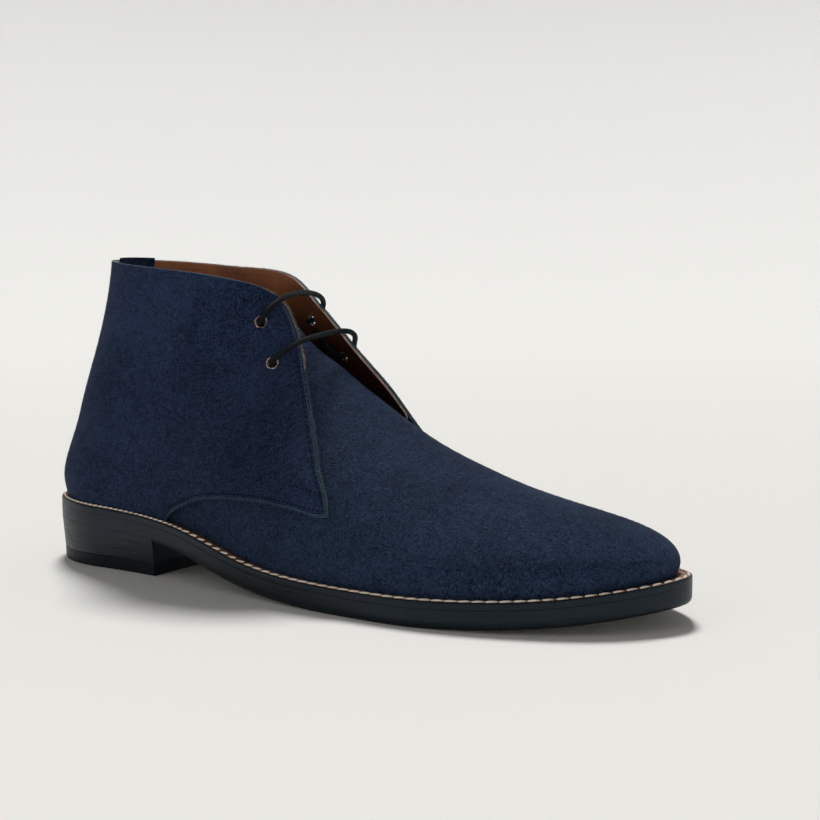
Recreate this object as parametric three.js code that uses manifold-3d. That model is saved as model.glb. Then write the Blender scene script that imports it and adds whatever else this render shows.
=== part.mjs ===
// A man's suede chukka boot for the right foot, with two pairs of eyelets, a leather-lined upper,
// a stitched welt and a low stacked heel. Millimetres, +X to the toe, +Y to the inner (medial) side
// of the foot, +Z up. Inside this file x is counted from the back of the heel; the group at the end
// moves the boot so that its origin is at the middle of the space it stands on.
import * as THREE from "three";
import { mergeVertices } from "three/addons/utils/BufferGeometryUtils.js";
import Module from "manifold-3d";

const wasm = await Module();
wasm.setup();

// ---- driving dimensions ---------------------------------------------------------------------
const SOLE_LENGTH = 305; // heel back to toe tip, over the edge of the outsole
const HEEL_BREAST = 75; // where the heel block ends
const HEEL_ROUND = 40; // length over which the back of the heel rounds off
const TOE_ROUND = 100; // length over which the toe rounds off
const TOE_POINT = 1 / 1.8; // an ellipse is 1/2; a little more makes an almond toe
const TOE_SWING = 4; // how far the toe tip swings to the inner side
const GAP = 0.3; // between pieces that touch
const WELT_THICK = 3;
const WELT_WIDTH = 9;
const MARGIN = 4.4; // from the sole's edge in to the upper's base form
const TOE_BACK = 1.9; // how much further back the upper stays at the toe
const TOE_BACK_FROM = 240;
const TOP_PIECE_THICK = 5.5; // rubber top piece under the heel
const HEEL_TAPER = 1.2; // the heel block is this much smaller all round at the floor
const VAMP_WALL = 2.4; // suede and lining
const QUARTER_PROUD = 1.6; // the quarters' suede stands this far above the vamp
const QUARTER_WALL = 2.4;
const TONGUE_WALL = 2;
const BULGE = 2.2; // how far the sides swell out above the feather edge
const BULGE_HEIGHT = 14;
const SHAFT_HALF = 29; // half the width of the shaft at the ankle
const SHAFT_FROM = 45; // heights between which foot width turns into shaft width
const SHAFT_TO = 105;
const BACK_ROUND = 34; // depth over which the back of the upper rounds off
const INSOLE_LIFT = 3.2;
const LACE_RADIUS = 1.15;
const EYELET_HOLE = 2.3;

// ---- tables ---------------------------------------------------------------------------------
// Half widths of the sole before heel and toe are rounded off.
const FLANK = [
  { x: 0, outer: 33.2, inner: 33.2 },
  { x: 60, outer: 33.4, inner: 32.2 },
  { x: 90, outer: 36.8, inner: 30.2 },
  { x: 120, outer: 43.0, inner: 31.0 },
  { x: 150, outer: 48.6, inner: 36.6 },
  { x: 180, outer: 52.4, inner: 44.0 },
  { x: 210, outer: 54.0, inner: 49.0 },
  { x: 250, outer: 53.2, inner: 50.5 },
  { x: 305, outer: 52.5, inner: 50.5 },
];
// Height of the welt's top, and of the sole's underside in front of the heel.
const SEAT = [
  { x: 0, z: 29.0 },
  { x: 35, z: 27.6 },
  { x: 70, z: 25.5 },
  { x: 95, z: 22.0 },
  { x: 115, z: 17.3 },
  { x: 135, z: 13.2 },
  { x: 155, z: 11.2 },
  { x: 180, z: 10.5 },
  { x: 210, z: 10.5 },
  { x: 240, z: 11.4 },
  { x: 270, z: 13.6 },
  { x: 305, z: 18.8 },
];
const TREAD = [
  { x: 0, z: 19.0 },
  { x: 35, z: 17.4 },
  { x: 70, z: 15.2 },
  { x: 95, z: 11.6 },
  { x: 115, z: 6.8 },
  { x: 135, z: 2.9 },
  { x: 155, z: 0.8 },
  { x: 180, z: -0.1 },
  { x: 210, z: -0.1 },
  { x: 240, z: 0.9 },
  { x: 270, z: 3.2 },
  { x: 305, z: 8.4 },
];
// The back of the base form, by height.
const BACK = [
  { z: 15, x: 8.5 },
  { z: 28, x: 5.2 },
  { z: 38, x: 3.8 },
  { z: 47, x: 6.0 },
  { z: 60, x: 11.5 },
  { z: 75, x: 16.8 },
  { z: 95, x: 24.2 },
  { z: 115, x: 30.6 },
  { z: 135, x: 34.6 },
  { z: 160, x: 35.6 },
];
// One row for each section of the last, from the toe up to the shaft. A section runs from its foot
// up to the ridge. foot is x along the bottom, and below 5 it goes on up the back, so that foot -20
// is 25 mm above the heel's feather edge. ridge is the vamp's and tongue's line, front is the
// quarters' line, which stands off the tongue. crown is the share of the section that turns over
// towards the ridge, and square makes its shoulders fuller. lean is how far the ridge lies to the
// inner side of the foot.
const SECTIONS = [
  { foot: 300.6, ridgeX: 300.6, ridgeZ: 18.2, frontX: 300.6, frontZ: 18.2, crown: 1.0, square: 2.2, lean: 0 },
  { foot: 297, ridgeX: 301.2, ridgeZ: 22.4, frontX: 301.2, frontZ: 22.4, crown: 1.0, square: 2.2, lean: 0 },
  { foot: 291, ridgeX: 299.2, ridgeZ: 27.8, frontX: 299.2, frontZ: 27.8, crown: 1.0, square: 2.2, lean: 0 },
  { foot: 281, ridgeX: 291.0, ridgeZ: 33.2, frontX: 291.0, frontZ: 33.2, crown: 1.0, square: 2.3, lean: 0 },
  { foot: 267, ridgeX: 276.0, ridgeZ: 37.8, frontX: 276.0, frontZ: 37.8, crown: 1.0, square: 2.3, lean: 0 },
  { foot: 247, ridgeX: 254.0, ridgeZ: 42.2, frontX: 254.0, frontZ: 42.2, crown: 1.0, square: 2.2, lean: 0.5 },
  { foot: 226, ridgeX: 232.0, ridgeZ: 47.2, frontX: 232.0, frontZ: 47.2, crown: 1.0, square: 2.1, lean: 1.2 },
  { foot: 207, ridgeX: 213.0, ridgeZ: 53.6, frontX: 213.0, frontZ: 53.6, crown: 1.0, square: 2.0, lean: 2.2 },
  { foot: 188, ridgeX: 195.4, ridgeZ: 60.6, frontX: 195.4, frontZ: 60.6, crown: 1.0, square: 2.0, lean: 3.4 },
  { foot: 168, ridgeX: 180.1, ridgeZ: 68.8, frontX: 181.2, frontZ: 70.6, crown: 1.0, square: 2.0, lean: 4.4 },
  { foot: 145, ridgeX: 166.0, ridgeZ: 77.8, frontX: 169.0, frontZ: 83.6, crown: 1.0, square: 2.0, lean: 5.0 },
  { foot: 115, ridgeX: 153.0, ridgeZ: 86.6, frontX: 158.0, frontZ: 95.0, crown: 0.95, square: 2.0, lean: 5.0 },
  { foot: 78, ridgeX: 141.5, ridgeZ: 95.0, frontX: 149.6, frontZ: 104.1, crown: 0.85, square: 2.0, lean: 5.0 },
  { foot: 42, ridgeX: 131.6, ridgeZ: 102.4, frontX: 143.8, frontZ: 110.9, crown: 0.72, square: 2.0, lean: 4.6 },
  { foot: 17, ridgeX: 125.0, ridgeZ: 109.0, frontX: 139.8, frontZ: 116.7, crown: 0.62, square: 2.0, lean: 4.0 },
  { foot: 5, ridgeX: 119.4, ridgeZ: 113.8, frontX: 136.4, frontZ: 121.4, crown: 0.56, square: 2.0, lean: 3.4 },
  { foot: -10, ridgeX: 115.0, ridgeZ: 117.8, frontX: 133.9, frontZ: 125.8, crown: 0.5, square: 2.0, lean: 2.8 },
  { foot: -34, ridgeX: 111.4, ridgeZ: 121.9, frontX: 132.0, frontZ: 129.9, crown: 0.46, square: 2.0, lean: 2.2 },
  { foot: -60, ridgeX: 108.6, ridgeZ: 126.7, frontX: 130.6, frontZ: 134.7, crown: 0.44, square: 2.0, lean: 1.6 },
  { foot: -85, ridgeX: 106.4, ridgeZ: 132.5, frontX: 129.6, frontZ: 140.5, crown: 0.42, square: 2.0, lean: 1.2 },
  { foot: -110, ridgeX: 105.0, ridgeZ: 139.4, frontX: 129.0, frontZ: 147.4, crown: 0.42, square: 2.0, lean: 1.0 },
  { foot: -130, ridgeX: 104.4, ridgeZ: 147.4, frontX: 128.8, frontZ: 155.4, crown: 0.42, square: 2.0, lean: 1.0 },
];
const HEEL_CORNER = 15; // the row whose foot is at the heel's feather edge
const CORNER_X = 5;

// Outlines in side view. Each quarter: the collar from the back to the front corner, then down the
// facing to the tab, then back along the lower edge to the welt.
const COLLAR = {
  outer: [
    { x: 30, z: 136.8 },
    { x: 51, z: 135.2 },
    { x: 76, z: 133.0 },
    { x: 100, z: 130.6 },
    { x: 114, z: 127.9 },
    { x: 121.5, z: 125.3 },
    { x: 127.3, z: 121.2 },
  ],
  inner: [
    { x: 30, z: 136.8 },
    { x: 51, z: 135.2 },
    { x: 76, z: 133.2 },
    { x: 97, z: 131.4 },
    { x: 107, z: 128.9 },
    { x: 117.2, z: 124.0 },
    { x: 128.4, z: 115.8 },
  ],
};
const FACING = {
  outer: [
    { x: 127.3, z: 121.2 },
    { x: 131.9, z: 114.0 },
    { x: 135.8, z: 105.6 },
    { x: 142.4, z: 91.4 },
    { x: 151.7, z: 74.9 },
    { x: 160.9, z: 60.6 },
    { x: 167.3, z: 50.6 },
    { x: 172.0, z: 43.6 },
    { x: 174.4, z: 37.0 },
  ],
  inner: [
    { x: 128.4, z: 115.8 },
    { x: 138.0, z: 108.9 },
    { x: 148.6, z: 99.1 },
    { x: 162.2, z: 85.6 },
    { x: 171.6, z: 70.6 },
    { x: 178.2, z: 57.2 },
    { x: 182.6, z: 47.0 },
    { x: 184.5, z: 38.6 },
  ],
};
const LOWER_EDGE = {
  outer: [
    { x: 174.4, z: 37.0 },
    { x: 170.0, z: 36.6 },
    { x: 161.8, z: 37.5 },
    { x: 152.0, z: 38.7 },
    { x: 140.5, z: 39.5 },
    { x: 128.0, z: 39.3 },
    { x: 113.5, z: 38.2 },
    { x: 103.8, z: 36.5 },
    { x: 94.2, z: 33.0 },
    { x: 85.2, z: 28.6 },
    { x: 80.6, z: 23.5 },
  ],
  inner: [
    { x: 184.5, z: 38.6 },
    { x: 166, z: 39.0 },
    { x: 146, z: 40.0 },
    { x: 124, z: 40.2 },
    { x: 104, z: 38.4 },
    { x: 91.5, z: 33.8 },
    { x: 84, z: 28.7 },
    { x: 80.6, z: 23.5 },
  ],
};
// Where the vamp's leather stops under the quarters, and the throat where the tongue starts.
const VAMP_BACK = [
  { x: 62, z: 20.0 },
  { x: 66, z: 34.0 },
  { x: 84, z: 47.0 },
  { x: 112, z: 60.0 },
  { x: 134, z: 76.0 },
  { x: 150.5, z: 88.0 },
];
const THROAT = { x: 152, z: 89.5 };
// The tongue's plan, as half widths about its own middle line.
const TONGUE = [
  { x: 160, half: 18 },
  { x: 148, half: 20 },
  { x: 134, half: 21 },
  { x: 121, half: 22 },
  { x: 112, half: 20 },
];
const TONGUE_MIDDLE = 5;
const TONGUE_SINK = 1.8; // how far the tongue drops below the vamp's line under the quarters
const EYELETS = [
  { side: "outer", x: 121.5, z: 110.7 },
  { side: "outer", x: 128.5, z: 93.8 },
  { side: "inner", x: 122.5, z: 110.5 },
  { side: "inner", x: 140.5, z: 95.5 },
];

// The lace, from its hidden end inside the inner flap's upper eyelet: down inside and out of the
// lower eyelet, over the throat as the lower bar, in and up inside the outer flap, and back over
// the throat as the upper bar, into the first flap again.
const LACE = [
  { x: 124.8, y: 16.8, z: 106.6 },
  { x: 131.0, y: 16.2, z: 101.2 },
  { x: 136.8, y: 15.8, z: 96.4 },
  { x: 139.2, y: 17.2, z: 95.0 },
  { x: 140.4, y: 20.4, z: 95.9 },
  { x: 141.2, y: 22.8, z: 97.2 },
  { x: 143.8, y: 20.6, z: 100.6 },
  { x: 146.0, y: 17.6, z: 104.0 },
  { x: 145.8, y: 14.4, z: 105.8 },
  { x: 144.2, y: 10.5, z: 106.3 },
  { x: 142.8, y: 4.0, z: 105.8 },
  { x: 141.8, y: -2.5, z: 105.0 },
  { x: 140.4, y: -9.0, z: 103.8 },
  { x: 137.2, y: -15.4, z: 101.2 },
  { x: 132.6, y: -19.6, z: 97.0 },
  { x: 129.6, y: -20.4, z: 94.6 },
  { x: 128.6, y: -18.3, z: 93.8 },
  { x: 127.6, y: -15.1, z: 92.6 },
  { x: 126.4, y: -13.4, z: 94.8 },
  { x: 122.4, y: -12.6, z: 103.4 },
  { x: 119.6, y: -12.9, z: 109.2 },
  { x: 120.2, y: -15.0, z: 110.5 },
  { x: 121.4, y: -17.3, z: 110.8 },
  { x: 124.2, y: -18.4, z: 113.4 },
  { x: 127.8, y: -16.6, z: 117.6 },
  { x: 130.2, y: -13.6, z: 120.4 },
  { x: 130.6, y: -8.0, z: 121.9 },
  { x: 129.6, y: -0.5, z: 122.5 },
  { x: 128.6, y: 7.5, z: 122.5 },
  { x: 128.1, y: 13.5, z: 121.8 },
  { x: 128.0, y: 18.4, z: 120.0 },
  { x: 127.0, y: 21.4, z: 117.4 },
  { x: 125.3, y: 22.8, z: 114.4 },
  { x: 123.7, y: 23.7, z: 112.0 },
  { x: 122.4, y: 21.7, z: 110.5 },
  { x: 121.3, y: 18.4, z: 109.7 },
  { x: 120.8, y: 16.9, z: 109.4 },
];

// ---- small maths ----------------------------------------------------------------------------
const clamp = (v, low = 0, high = 1) => Math.min(high, Math.max(low, v));
const mix = (a, b, t) => a + (b - a) * t;
const smooth = (v, low, high) => {
  const t = clamp((v - low) / (high - low));
  return t * t * (3 - 2 * t);
};

// Natural cubic spline through (at[i], value[i]).
function spline(at, value) {
  const n = at.length;
  const bend = new Array(n).fill(0);
  const carry = new Array(n).fill(0);
  for (let i = 1; i < n - 1; i++) {
    const share = (at[i] - at[i - 1]) / (at[i + 1] - at[i - 1]);
    const below = share * bend[i - 1] + 2;
    const slopes =
      (value[i + 1] - value[i]) / (at[i + 1] - at[i]) -
      (value[i] - value[i - 1]) / (at[i] - at[i - 1]);
    bend[i] = (share - 1) / below;
    carry[i] = ((6 * slopes) / (at[i + 1] - at[i - 1]) - share * carry[i - 1]) / below;
  }
  for (let i = n - 2; i >= 0; i--) bend[i] = bend[i] * bend[i + 1] + carry[i];
  return (where) => {
    const v = clamp(where, at[0], at[n - 1]);
    let i = 0;
    while (i < n - 2 && v > at[i + 1]) i++;
    const step = at[i + 1] - at[i];
    const a = (at[i + 1] - v) / step;
    const b = (v - at[i]) / step;
    const pull = ((a ** 3 - a) * bend[i] + (b ** 3 - b) * bend[i + 1]) * (step ** 2 / 6);
    return a * value[i] + b * value[i + 1] + pull;
  };
}
const column = (table, at, value) => spline(table.map((r) => r[at]), table.map((r) => r[value]));
const byRow = (key) => spline(SECTIONS.map((r, i) => i), SECTIONS.map((r) => r[key]));

const flank = { outer: column(FLANK, "x", "outer"), inner: column(FLANK, "x", "inner") };
const seatZ = column(SEAT, "x", "z");
const treadZ = column(TREAD, "x", "z");
const backX = column(BACK, "z", "x");
const section = Object.fromEntries(Object.keys(SECTIONS[0]).map((key) => [key, byRow(key)]));
const swing = (x) => TOE_SWING * clamp((x - 200) / (SOLE_LENGTH - 200)) ** 2;
const SIGN = { outer: -1, inner: 1 };

// ---- sole outline ---------------------------------------------------------------------------
const heelRound = (x, inset) => Math.sqrt(1 - (1 - clamp((x - inset) / (HEEL_ROUND - inset))) ** 2);
const toeRound = (x, inset) => {
  const share = clamp((SOLE_LENGTH - inset - x) / (TOE_ROUND - inset));
  return (1 - (1 - share) ** 2) ** TOE_POINT;
};
const edgeY = (side, x, inset) =>
  swing(x) + SIGN[side] * (flank[side](x) - inset) * heelRound(x, inset) * toeRound(x, inset);

// ---- solids from rings and grids --------------------------------------------------------------
// Points (THREE.Vector3) and index triples into a closed solid.
function solidOf(points, faces) {
  const geometry = new THREE.BufferGeometry().setFromPoints(points);
  geometry.setIndex(faces.flat());
  const merged = mergeVertices(geometry, 1e-4);
  const index = merged.index.array;
  const kept = [];
  for (let i = 0; i < index.length; i += 3) {
    const [a, b, c] = [index[i], index[i + 1], index[i + 2]];
    if (a !== b && b !== c && c !== a) kept.push(a, b, c);
  }
  const vertProperties = merged.attributes.position.array;
  const mesh = new wasm.Mesh({ numProp: 3, vertProperties, triVerts: new Uint32Array(kept) });
  return new wasm.Manifold(mesh);
}

function geometryOf(solid) {
  const mesh = solid.getMesh();
  const geometry = new THREE.BufferGeometry();
  geometry.setAttribute("position", new THREE.BufferAttribute(mesh.vertProperties, 3));
  geometry.setIndex(new THREE.BufferAttribute(mesh.triVerts, 1));
  geometry.computeVertexNormals();
  return geometry;
}

const solidFrom = (geometry) => {
  const bare = geometry.clone();
  bare.deleteAttribute("normal");
  bare.deleteAttribute("uv");
  const merged = mergeVertices(bare, 1e-4);
  const triVerts = new Uint32Array(merged.index.array);
  const vertProperties = merged.attributes.position.array;
  return new wasm.Manifold(new wasm.Mesh({ numProp: 3, vertProperties, triVerts }));
};

// A plate stacked from levels of the sole outline: each has an inset from the edge and a height.
function plate(levels, from, to, steps) {
  const rows = levels.map(({ inset, z, atToe = 0 }) => {
    const start = Math.max(from, inset);
    const end = Math.min(to, SOLE_LENGTH - inset);
    const spot = (i, side) => {
      const x = mix(start, end, (1 - Math.cos((Math.PI * i) / steps)) / 2);
      return new THREE.Vector3(x - atToe * toeBack(x), edgeY(side, x, inset), z(x));
    };
    const outer = Array.from({ length: steps + 1 }, (_, i) => spot(i, "outer"));
    const inner = Array.from({ length: steps + 1 }, (_, i) => spot(i, "inner"));
    return [...outer, ...inner.reverse()];
  });
  const count = 2 * (steps + 1);
  const faces = [];
  const at = (level, i) => level * count + (i % count);
  for (let level = 0; level < rows.length - 1; level++)
    for (let i = 0; i < count; i++) {
      faces.push([at(level, i), at(level, i + 1), at(level + 1, i + 1)]);
      faces.push([at(level, i), at(level + 1, i + 1), at(level + 1, i)]);
    }
  const top = rows.length - 1;
  for (let i = 0; i < steps; i++) {
    const mate = count - 1 - i;
    faces.push([at(0, i), at(0, mate), at(0, i + 1)], [at(0, i + 1), at(0, mate), at(0, mate - 1)]);
    faces.push([at(top, i), at(top, i + 1), at(top, mate)]);
    faces.push([at(top, i + 1), at(top, mate - 1), at(top, mate)]);
  }
  return solidOf(rows.flat(), faces);
}

// A slab across the boot whose side view is a closed outline of {x, z} points.
function slab(outline, from = -80, to = 80) {
  const shape = new THREE.Shape(outline.map(({ x, z }) => new THREE.Vector2(x, z)));
  const geometry = new THREE.ExtrudeGeometry(shape, { depth: to - from, bevelEnabled: false });
  geometry.rotateX(Math.PI / 2);
  geometry.translate(0, to, 0);
  return solidFrom(geometry);
}

// A smooth run of {x, z} points through a short table.
function run(table, steps) {
  const points = table.map(({ x, z }) => new THREE.Vector3(x, 0, z));
  const curve = new THREE.CatmullRomCurve3(points, false, "centripetal");
  return curve.getPoints(steps);
}

// ---- the last ---------------------------------------------------------------------------------
// Side-view ends of section u: its foot on the bottom or the back, and its top on the given line.
function sectionEnds(u, line) {
  const foot = section.foot(u);
  const top = { x: section[line + "X"](u), z: section[line + "Z"](u) };
  if (u <= HEEL_CORNER) {
    const x = Math.max(foot, CORNER_X);
    return { foot: { x, z: seatZ(x) + GAP }, top };
  }
  const z = seatZ(CORNER_X) + GAP + (CORNER_X - foot);
  const lean = backX(z) - backX(seatZ(CORNER_X) + GAP);
  return { foot: { x: CORNER_X + lean, z }, top };
}

// A point on a form: section u, side, and share h of the way from foot to ridge.
const toeBack = (x) =>
  TOE_BACK * clamp((x - TOE_BACK_FROM) / (SOLE_LENGTH - MARGIN - TOE_BACK_FROM)) ** 2;

function formPoint(line, u, side, h) {
  const ends = sectionEnds(u, line);
  const x = mix(ends.foot.x, ends.top.x, h);
  const z = mix(ends.foot.z, ends.top.z, h);
  const crown = section.crown(u);
  const turned = clamp((h - (1 - crown)) / crown);
  const crownClose = Math.sqrt(1 - turned ** section.square(u));
  const backStart = CORNER_X + backX(z) - backX(seatZ(CORNER_X) + GAP);
  const fromBack = clamp((x - backStart) / BACK_ROUND);
  const backClose = Math.sqrt(1 - (1 - fromBack) ** 2);
  const rise = z - seatZ(x);
  const swell = BULGE * Math.sin((Math.PI / 2) * clamp(rise / BULGE_HEIGHT));
  const footHalf = flank[side](x) - MARGIN + swell;
  const half = mix(footHalf, SHAFT_HALF, smooth(z, SHAFT_FROM, SHAFT_TO));
  const toe = toeRound(Math.min(section.foot(u), SOLE_LENGTH - MARGIN), MARGIN);
  const middle = swing(x) + section.lean(u) * h ** 2;
  return new THREE.Vector3(x - toeBack(x), middle + SIGN[side] * half * crownClose * backClose * toe, z);
}

// Shares h for a row of points: even round an ellipse that closes at the ridge, and on the shaft
// at the back as well.
function shares(u, steps) {
  const both = smooth(u, 9, HEEL_CORNER);
  return Array.from({ length: steps + 1 }, (_, j) => {
    const t = j / steps;
    return mix(Math.sin((t * Math.PI) / 2), (1 - Math.cos(t * Math.PI)) / 2, both);
  });
}

// Grid of points round each section, outer side first, then over the ridge to the inner side.
function formGrid(line, perRow, steps) {
  const rows = (SECTIONS.length - 1) * perRow;
  return Array.from({ length: rows + 1 }, (_, i) => {
    const u = i / perRow;
    const h = shares(u, steps);
    const outer = h.map((share) => formPoint(line, u, "outer", share));
    const inner = h.slice(0, -1).reverse().map((share) => formPoint(line, u, "inner", share));
    return [...outer, ...inner];
  });
}

// Outward normals of a grid, from its neighbours. The toe pole points forwards, and the two edges
// of a section that starts on the back meet there.
function gridNormals(grid, perRow) {
  const last = grid[0].length - 1;
  return grid.map((ring, i) =>
    ring.map((point, j) => {
      if (i === 0) return new THREE.Vector3(1, 0, 0);
      const closed = i >= HEEL_CORNER * perRow;
      const next = closed && j === last ? 1 : Math.min(j + 1, last);
      const before = closed && j === 0 ? last - 1 : Math.max(j - 1, 0);
      const round = ring[next].clone().sub(ring[before]);
      const along = grid[Math.min(i + 1, grid.length - 1)][j].clone().sub(grid[i - 1][j]);
      return round.cross(along).normalize();
    }),
  );
}

// A shell between two offsets of a form, open underneath and at the top.
function shell(line, outside, inside, perRow, steps) {
  const grid = formGrid(line, perRow, steps);
  const normals = gridNormals(grid, perRow);
  const layer = (offset) =>
    grid.map((ring, i) =>
      ring.map((point, j) => {
        const moved = point.clone().addScaledVector(normals[i][j], offset);
        const onFeather = i <= HEEL_CORNER * perRow && (j === 0 || j === ring.length - 1);
        if (onFeather || i === 0) moved.z = point.z;
        return moved;
      }),
    );
  const layers = [layer(outside), layer(inside)];
  const count = grid[0].length;
  const id = (side, i, j) => (side * grid.length + i) * count + j;
  const faces = [];
  const quad = (a, b, c, d) => faces.push([a, b, c], [a, c, d]);
  const last = grid.length - 1;
  for (let i = 0; i < last; i++) {
    for (let j = 0; j < count - 1; j++) {
      quad(id(0, i, j), id(0, i, j + 1), id(0, i + 1, j + 1), id(0, i + 1, j));
      quad(id(1, i, j), id(1, i + 1, j), id(1, i + 1, j + 1), id(1, i, j + 1));
    }
    if (i < HEEL_CORNER * perRow) {
      const far = count - 1;
      quad(id(0, i, 0), id(0, i + 1, 0), id(1, i + 1, 0), id(1, i, 0));
      quad(id(0, i, far), id(1, i, far), id(1, i + 1, far), id(0, i + 1, far));
    }
  }
  for (let j = 0; j < count - 1; j++)
    quad(id(0, last, j), id(0, last, j + 1), id(1, last, j + 1), id(1, last, j));
  return solidOf(layers.flat(2), faces);
}

const PER_ROW = 2;
const STEPS = 10;

// ---- the upper ----------------------------------------------------------------------------------
const quarterOutline = (side) => [
  { x: -20, z: 139.2 },
  ...run(COLLAR[side], 14),
  ...run(FACING[side], 16).slice(1),
  ...run(LOWER_EDGE[side], 14).slice(1),
  { x: 80.6, z: 0 },
  { x: -20, z: 0 },
];
const vampOutline = (shift = 0) => [
  { x: 62 - shift, z: 0 },
  ...run(VAMP_BACK, 10).map(({ x, z }) => ({ x: x - shift, z: z + shift / 2 })),
  { x: THROAT.x - shift, z: THROAT.z + shift / 2 },
  { x: THROAT.x + 6, z: 112 },
  { x: 330, z: 112 },
  { x: 330, z: 0 },
];

// The spot and outward normal on the quarters' outside that has an eyelet's side-view x and z.
function eyeletPlace({ side, x, z }) {
  let best = { away: Infinity };
  for (let u = 10; u <= 18; u += 0.05)
    for (let h = 0.6; h < 0.99; h += 0.005) {
      const spot = formPoint("front", u, side, h);
      const across = formPoint("front", u, side, h + 0.01).sub(spot);
      const along = formPoint("front", u + 0.1, side, h).sub(spot);
      const normal = across.cross(along).normalize();
      if (normal.y * SIGN[side] < 0) normal.negate();
      spot.addScaledVector(normal, QUARTER_PROUD);
      const away = Math.hypot(spot.x - x, spot.z - z);
      if (away < best.away) best = { away, spot, normal };
    }
  return best;
}

// A straight punch through a quarter at an eyelet.
function punch(eyelet) {
  const { spot, normal } = eyeletPlace(eyelet);
  const bar = new THREE.CylinderGeometry(EYELET_HOLE, EYELET_HOLE, 12, 16);
  const turn = new THREE.Quaternion().setFromUnitVectors(new THREE.Vector3(0, 1, 0), normal);
  bar.applyQuaternion(turn);
  bar.translate(spot.x, spot.y, spot.z);
  return solidFrom(bar);
}

function makeUpper() {
  const vamp = shell("ridge", 0, -VAMP_WALL, PER_ROW, STEPS).intersect(slab(vampOutline()));
  const outside = QUARTER_PROUD;
  const quarterShell = shell("front", outside, outside - QUARTER_WALL, PER_ROW, STEPS);
  const outerHalf = quarterShell.intersect(slab(quarterOutline("outer"), -80, 0.5));
  const innerHalf = quarterShell.intersect(slab(quarterOutline("inner"), 0, 80));
  let quarters = outerHalf.add(innerHalf);
  for (const eyelet of EYELETS) quarters = quarters.subtract(punch(eyelet));
  return vamp.add(quarters);
}

// ---- the tongue ---------------------------------------------------------------------------------
function makeTongue() {
  const form = shell("ridge", -TONGUE_SINK, -TONGUE_SINK - TONGUE_WALL, PER_ROW, STEPS);
  const beside = TONGUE.map(({ x, half }) => new THREE.Vector2(x, TONGUE_MIDDLE - half));
  const other = TONGUE.map(({ x, half }) => new THREE.Vector2(x, TONGUE_MIDDLE + half)).reverse();
  const shape = new THREE.Shape([...beside, ...other]);
  const plan = new THREE.ExtrudeGeometry(shape, { depth: 160, bevelEnabled: false });
  return form.intersect(solidFrom(plan)).subtract(slab(vampOutline(GAP * 1.6)));
}

// ---- sole pieces --------------------------------------------------------------------------------
const weltTop = (x) => seatZ(x);
const weltUnder = (x) => seatZ(x) - WELT_THICK;
const soleTop = (x) => seatZ(x) - WELT_THICK - GAP;
const soleUnder = (x) => Math.max(0, treadZ(x));
const lift = (height, by) => (x) => height(x) + by;

const makeOutsole = () =>
  plate(
    [
      { inset: 1.4, z: soleUnder },
      { inset: 0.4, z: lift(soleUnder, 0.7) },
      { inset: 0, z: lift(soleUnder, 1.8) },
      { inset: 0, z: lift(soleTop, -0.6) },
      { inset: 0.4, z: soleTop },
    ],
    0,
    SOLE_LENGTH,
    40,
  );

function makeWelt() {
  const whole = plate(
    [
      { inset: 0.4, z: weltUnder },
      { inset: 0, z: lift(weltUnder, 0.6) },
      { inset: 0, z: lift(weltTop, -0.7) },
      { inset: 0.6, z: weltTop },
    ],
    0,
    SOLE_LENGTH,
    40,
  );
  const middle = [
    { inset: WELT_WIDTH, z: lift(weltUnder, -5) },
    { inset: WELT_WIDTH, z: lift(weltTop, 5) },
  ];
  return whole.subtract(plate(middle, 0, SOLE_LENGTH, 40));
}

const makeInsole = () =>
  plate(
    [
      { inset: WELT_WIDTH + GAP, z: weltUnder },
      { inset: WELT_WIDTH + GAP, z: lift(weltTop, GAP) },
      { inset: MARGIN + 3.2, z: lift(weltTop, GAP), atToe: 1 },
      { inset: MARGIN + 2.8, z: lift(weltTop, INSOLE_LIFT), atToe: 1 },
    ],
    0,
    SOLE_LENGTH,
    36,
  );

const makeHeelBlock = () =>
  plate(
    [
      { inset: HEEL_TAPER, z: () => TOP_PIECE_THICK + GAP },
      { inset: 0.4, z: lift(soleUnder, -GAP) },
    ],
    0,
    HEEL_BREAST,
    24,
  );

const makeTopPiece = () =>
  plate(
    [
      { inset: HEEL_TAPER + 1, z: () => 0 },
      { inset: HEEL_TAPER + 0.3, z: () => 0.7 },
      { inset: HEEL_TAPER, z: () => TOP_PIECE_THICK },
    ],
    0,
    HEEL_BREAST,
    24,
  );

// ---- the lace -----------------------------------------------------------------------------------
function makeLace() {
  const points = LACE.map(({ x, y, z }) => new THREE.Vector3(x, y, z));
  const route = new THREE.CatmullRomCurve3(points, false, "centripetal");
  const round = new THREE.Shape();
  round.absarc(0, 0, LACE_RADIUS, 0, 2 * Math.PI);
  const steps = { steps: 78, curveSegments: 4, bevelEnabled: false, extrudePath: route };
  return solidFrom(new THREE.ExtrudeGeometry(round, steps));
}

// ---- the boot -----------------------------------------------------------------------------------
const suede = new THREE.MeshStandardMaterial({ color: 0x26355c, roughness: 0.95, metalness: 0 });
const leather = new THREE.MeshStandardMaterial({ color: 0x7a4524, roughness: 0.6, metalness: 0 });
const black = new THREE.MeshStandardMaterial({ color: 0x1d2124, roughness: 0.5, metalness: 0 });
const tan = new THREE.MeshStandardMaterial({ color: 0x96745a, roughness: 0.7, metalness: 0 });
const cord = new THREE.MeshStandardMaterial({ color: 0x28323a, roughness: 0.6, metalness: 0 });

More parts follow.
